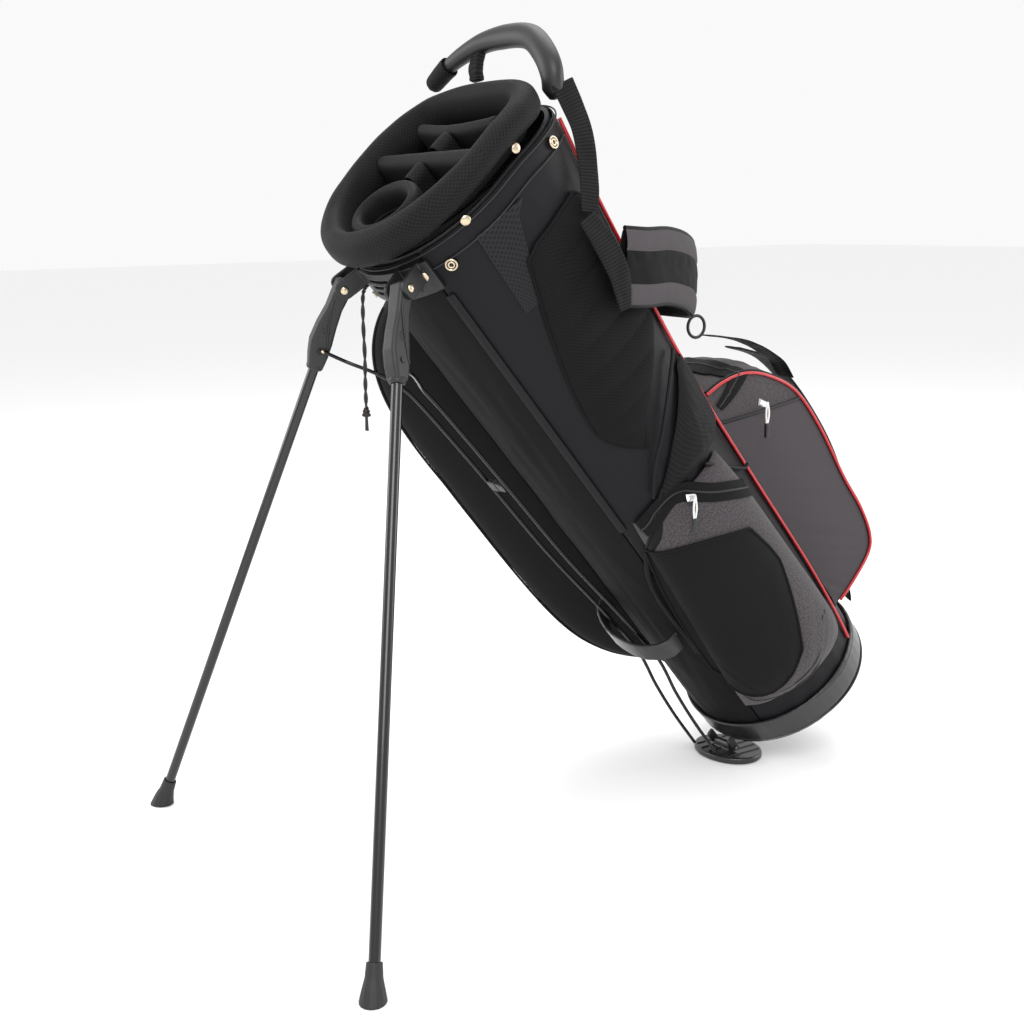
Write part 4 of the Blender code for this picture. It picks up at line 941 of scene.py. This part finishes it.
# ---- legs and their wires ----
# Gloss black metal tubes in nylon knuckles, with fluted rubber feet, and two spring wires to the foot plate.
# Tubes are turned cylinders; each knuckle gets a raised ridge, an oval recess and a screw; the wires bend.
gloss_black = gloss("gloss_black", (0.0040, 0.0040, 0.0046), 0.22, 0.0, 0.15)
rubber = gloss("rubber", (0.0080, 0.0080, 0.0085), 0.6, 0.0, 0.0, 0.4, 500)
wire_black = gloss("wire_black", (0.0200, 0.0200, 0.0220), 0.25, 0.9, 0.2)
for word, side in (("right", 1), ("left", -1)):
    body = "leg_" + word
    hinge = put((0.0650 * side, -0.1280, 0.7970))
    sole = Vector((0.2750 * side, -0.6765, 0.0))
    way = (sole - hinge).normalized()
    start, end = hinge + way * 0.0605, hinge + way * 0.6655
    bpy.ops.mesh.primitive_cylinder_add(vertices=48, radius=0.0058, depth=(end - start).length)
    hard("leg_tube_" + word + "_metal", body, "leg_black", gloss_black, (start + end) / 2, way,
         "leg_tube_" + word)
    foot = bpy.data.objects["leg_foot_" + word]
    foot.data.materials.clear()
    foot.data.materials.append(rubber)
    shut = lean @ Vector((0, 0, -1))
    hinge_axis = way.cross(shut).normalized()          # across the knuckle
    front = hinge_axis.cross(way).normalized()
    if front.y > 0:
        front = -front
    outside = hinge_axis if hinge_axis.x * side > 0 else -hinge_axis
    # socket collar round the tube's top, the ridge and the screw on the outer face
    bpy.ops.mesh.primitive_torus_add(major_radius=0.0072, minor_radius=0.0024, major_segments=40)
    hard("knuckle_lip_" + word, body, "moulded_black", nylon, hinge + way * 0.0935, way, size=(1, 1, 1.6))
    for k, face in enumerate((outside, -outside)):
        ridge = []
        for step in range(9):
            t = step / 8
            ahead = front * (0.0060 - 0.0125 * t ** 1.5)
            ridge.append(hinge + way * (0.016 + 0.060 * t) + face * 0.0094 + ahead)
        obj = strand("knuckle_ridge_%s_%d" % (word, k), ridge, 0.0011)
        obj.data.materials.clear()
        obj.data.materials.append(nylon)
        dress(obj, body, "moulded_black")
        bpy.ops.mesh.primitive_torus_add(major_radius=0.0044, minor_radius=0.0010, major_segments=32)
        hard("knuckle_recess_%s_%d" % (word, k), body, "moulded_black", nylon,
             hinge + way * 0.050 + face * 0.0090 + front * 0.0030, face, size=(0.8, 1, 0.6))
        bpy.ops.mesh.primitive_cylinder_add(vertices=24, radius=0.0034, depth=0.0016)
        hard("knuckle_screw_%s_%d" % (word, k), body, "nickel", dark_metal,
             hinge + way * 0.074 + face * 0.0098 + front * 0.0020, face)
        bpy.ops.mesh.primitive_uv_sphere_add(radius=0.0046, segments=24, ring_count=12)
        hard("pin_head_%s_%d" % (word, k), "bag", "nickel", brass, hinge + face * 0.0150, face,
             size=(1, 1, 0.45))
    joint_point = hinge + way * 0.0720 + (-outside) * 0.0125
    route = [put((x * side, n, a)) for x, n, a in (
        (0.0200, -0.1490, 0.0270), (0.0205, -0.1470, 0.0850), (0.0200, -0.1420, 0.1400),
        (0.0200, -0.1330, 0.2000), (0.0200, -0.1370, 0.2800), (0.0200, -0.1470, 0.4000),
        (0.0200, -0.1510, 0.5230), (0.0215, -0.1560, 0.6400), (0.0250, -0.1600, 0.6820),
        (0.0450, -0.1660, 0.7060), (0.0700, -0.1760, 0.7300))] + [joint_point]
    wire = strand("spring_wire_" + word, spline(route, 140), 0.0021, 4)
    wire.data.materials.clear()
    wire.data.materials.append(wire_black)
    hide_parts("actuator_rod_" + word)
    put((0.0200 * side, -0.1510, 0.5230))
    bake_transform(wire)
    bpy.ops.mesh.primitive_uv_sphere_add(radius=0.0030, segments=20, ring_count=12)
    hard("wire_ferrule_" + word, body, "nickel", brass, joint_point, outside, size=(0.8, 0.8, 1.2))


# ---- base and foot plate ----
# A smooth moulded cup holds the tube's foot, and a ribbed oval plate is hinged under its front edge.
# A raised lip runs round the cup and dips at the sides; the plate gets ribs on its top.
base_plastic = gloss("base_plastic", (0.0130, 0.0130, 0.0140), 0.33, 0.0, 0.1, 0.2, 600)
for node in ("base_cup", "foot_plate", "rod_guide_band"):
    bpy.data.objects[node].data.materials.clear()
    bpy.data.objects[node].data.materials.append(base_plastic)
for word, level, radius in (("upper", 0.0440, 0.0016), ("lower", 0.0120, 0.0013)):
    line = [skin(t, level - 0.0060 * max(0, cos(radians(t - 20))) ** 2, 0.0048 if level > 0.02 else 0.0034)
            for t in range(0, 361, 6)]
    dress(cord_on("cup_lip_" + word, line, 150, radius, base_plastic), "bag", "moulded_black")
for k in range(5):
    x = -0.030 + 0.015 * k
    reach = 0.034 * (1 - (x / 0.05) ** 2) ** 0.5
    stops = (-reach, -reach * 0.5, 0.0, reach * 0.5, reach)
    line = [Vector((x, y, 0.0088)) for y in stops if abs(y + 0.006) > 0.008 or abs(x) > 0.017]
    if len(line) > 2:
        rib = strand("plate_rib_%d" % k, line, 0.0011)
        rib.data.materials.clear()
        rib.data.materials.append(base_plastic)
        dress(rib, "foot_plate_body", "moulded_black")


# ---- zip pulls ----
# Each zip slider carries a doubled white cord with a black moulded grip on its end.
# The cord is a narrow loop swept from the slider; the grip is a stretched, bevelled block.
white_cord = gloss("white_cord", (0.62, 0.62, 0.60), 0.6, 0.0, 0.0, 0.4, 900)
grip_black = gloss("pull_grip", (0.0080, 0.0080, 0.0085), 0.4, 0.0, 0.0, 0.2, 500)
for word in ("ball", "side", "apparel"):
    box_low, box_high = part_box("zip_pull_" + word)
    top = Vector(((box_low[0] + box_high[0]) / 2, (box_low[1] + box_high[1]) / 2, box_high[2]))
    low = Vector((top.x, top.y, box_low[2]))
    for k, side in enumerate((-1, 1)):
        loop = [top + Vector((0, side * 0.0004, 0)), top.lerp(low, 0.3) + Vector((0.0006, side * 0.0022, 0)),
                top.lerp(low, 0.62) + Vector((0, side * 0.0008, 0))]
        piece = strand("pull_cord_%s_%d" % (word, k), spline(loop, 16), 0.0012)
        piece.data.materials.clear()
        piece.data.materials.append(white_cord)
        dress(piece, "pull_" + word, "pull_white", *(("zip_pull_" + word,) if k == 0 else ()))
    bpy.ops.mesh.primitive_cube_add(size=1)
    grip = bpy.context.object
    bevel = grip.modifiers.new("round", "BEVEL")
    bevel.width = 0.22
    bevel.segments = 4
    bpy.ops.object.modifier_apply(modifier="round")
    hard("pull_grip_" + word, "pull_" + word, "moulded_black", grip_black, top.lerp(low, 0.80), (0, 0, 1),
         size=(0.0046, 0.0056, (top - low).length * 0.42))


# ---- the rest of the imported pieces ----
# The frame ring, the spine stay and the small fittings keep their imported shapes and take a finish.
# The cord gets its own finish here, dark and slightly brown.
cord_brown = gloss("hood_cord_finish", (0.020, 0.016, 0.014), 0.8, 0.0, 0.0, 0.5, 1200)
for obj in (hood_cord, knot):
    obj.data.materials.clear()
    obj.data.materials.append(cord_brown)
for node in ("top_frame", "stay_spine"):
    bpy.data.objects[node].data.materials.clear()
    bpy.data.objects[node].data.materials.append(nylon)

low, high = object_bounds()
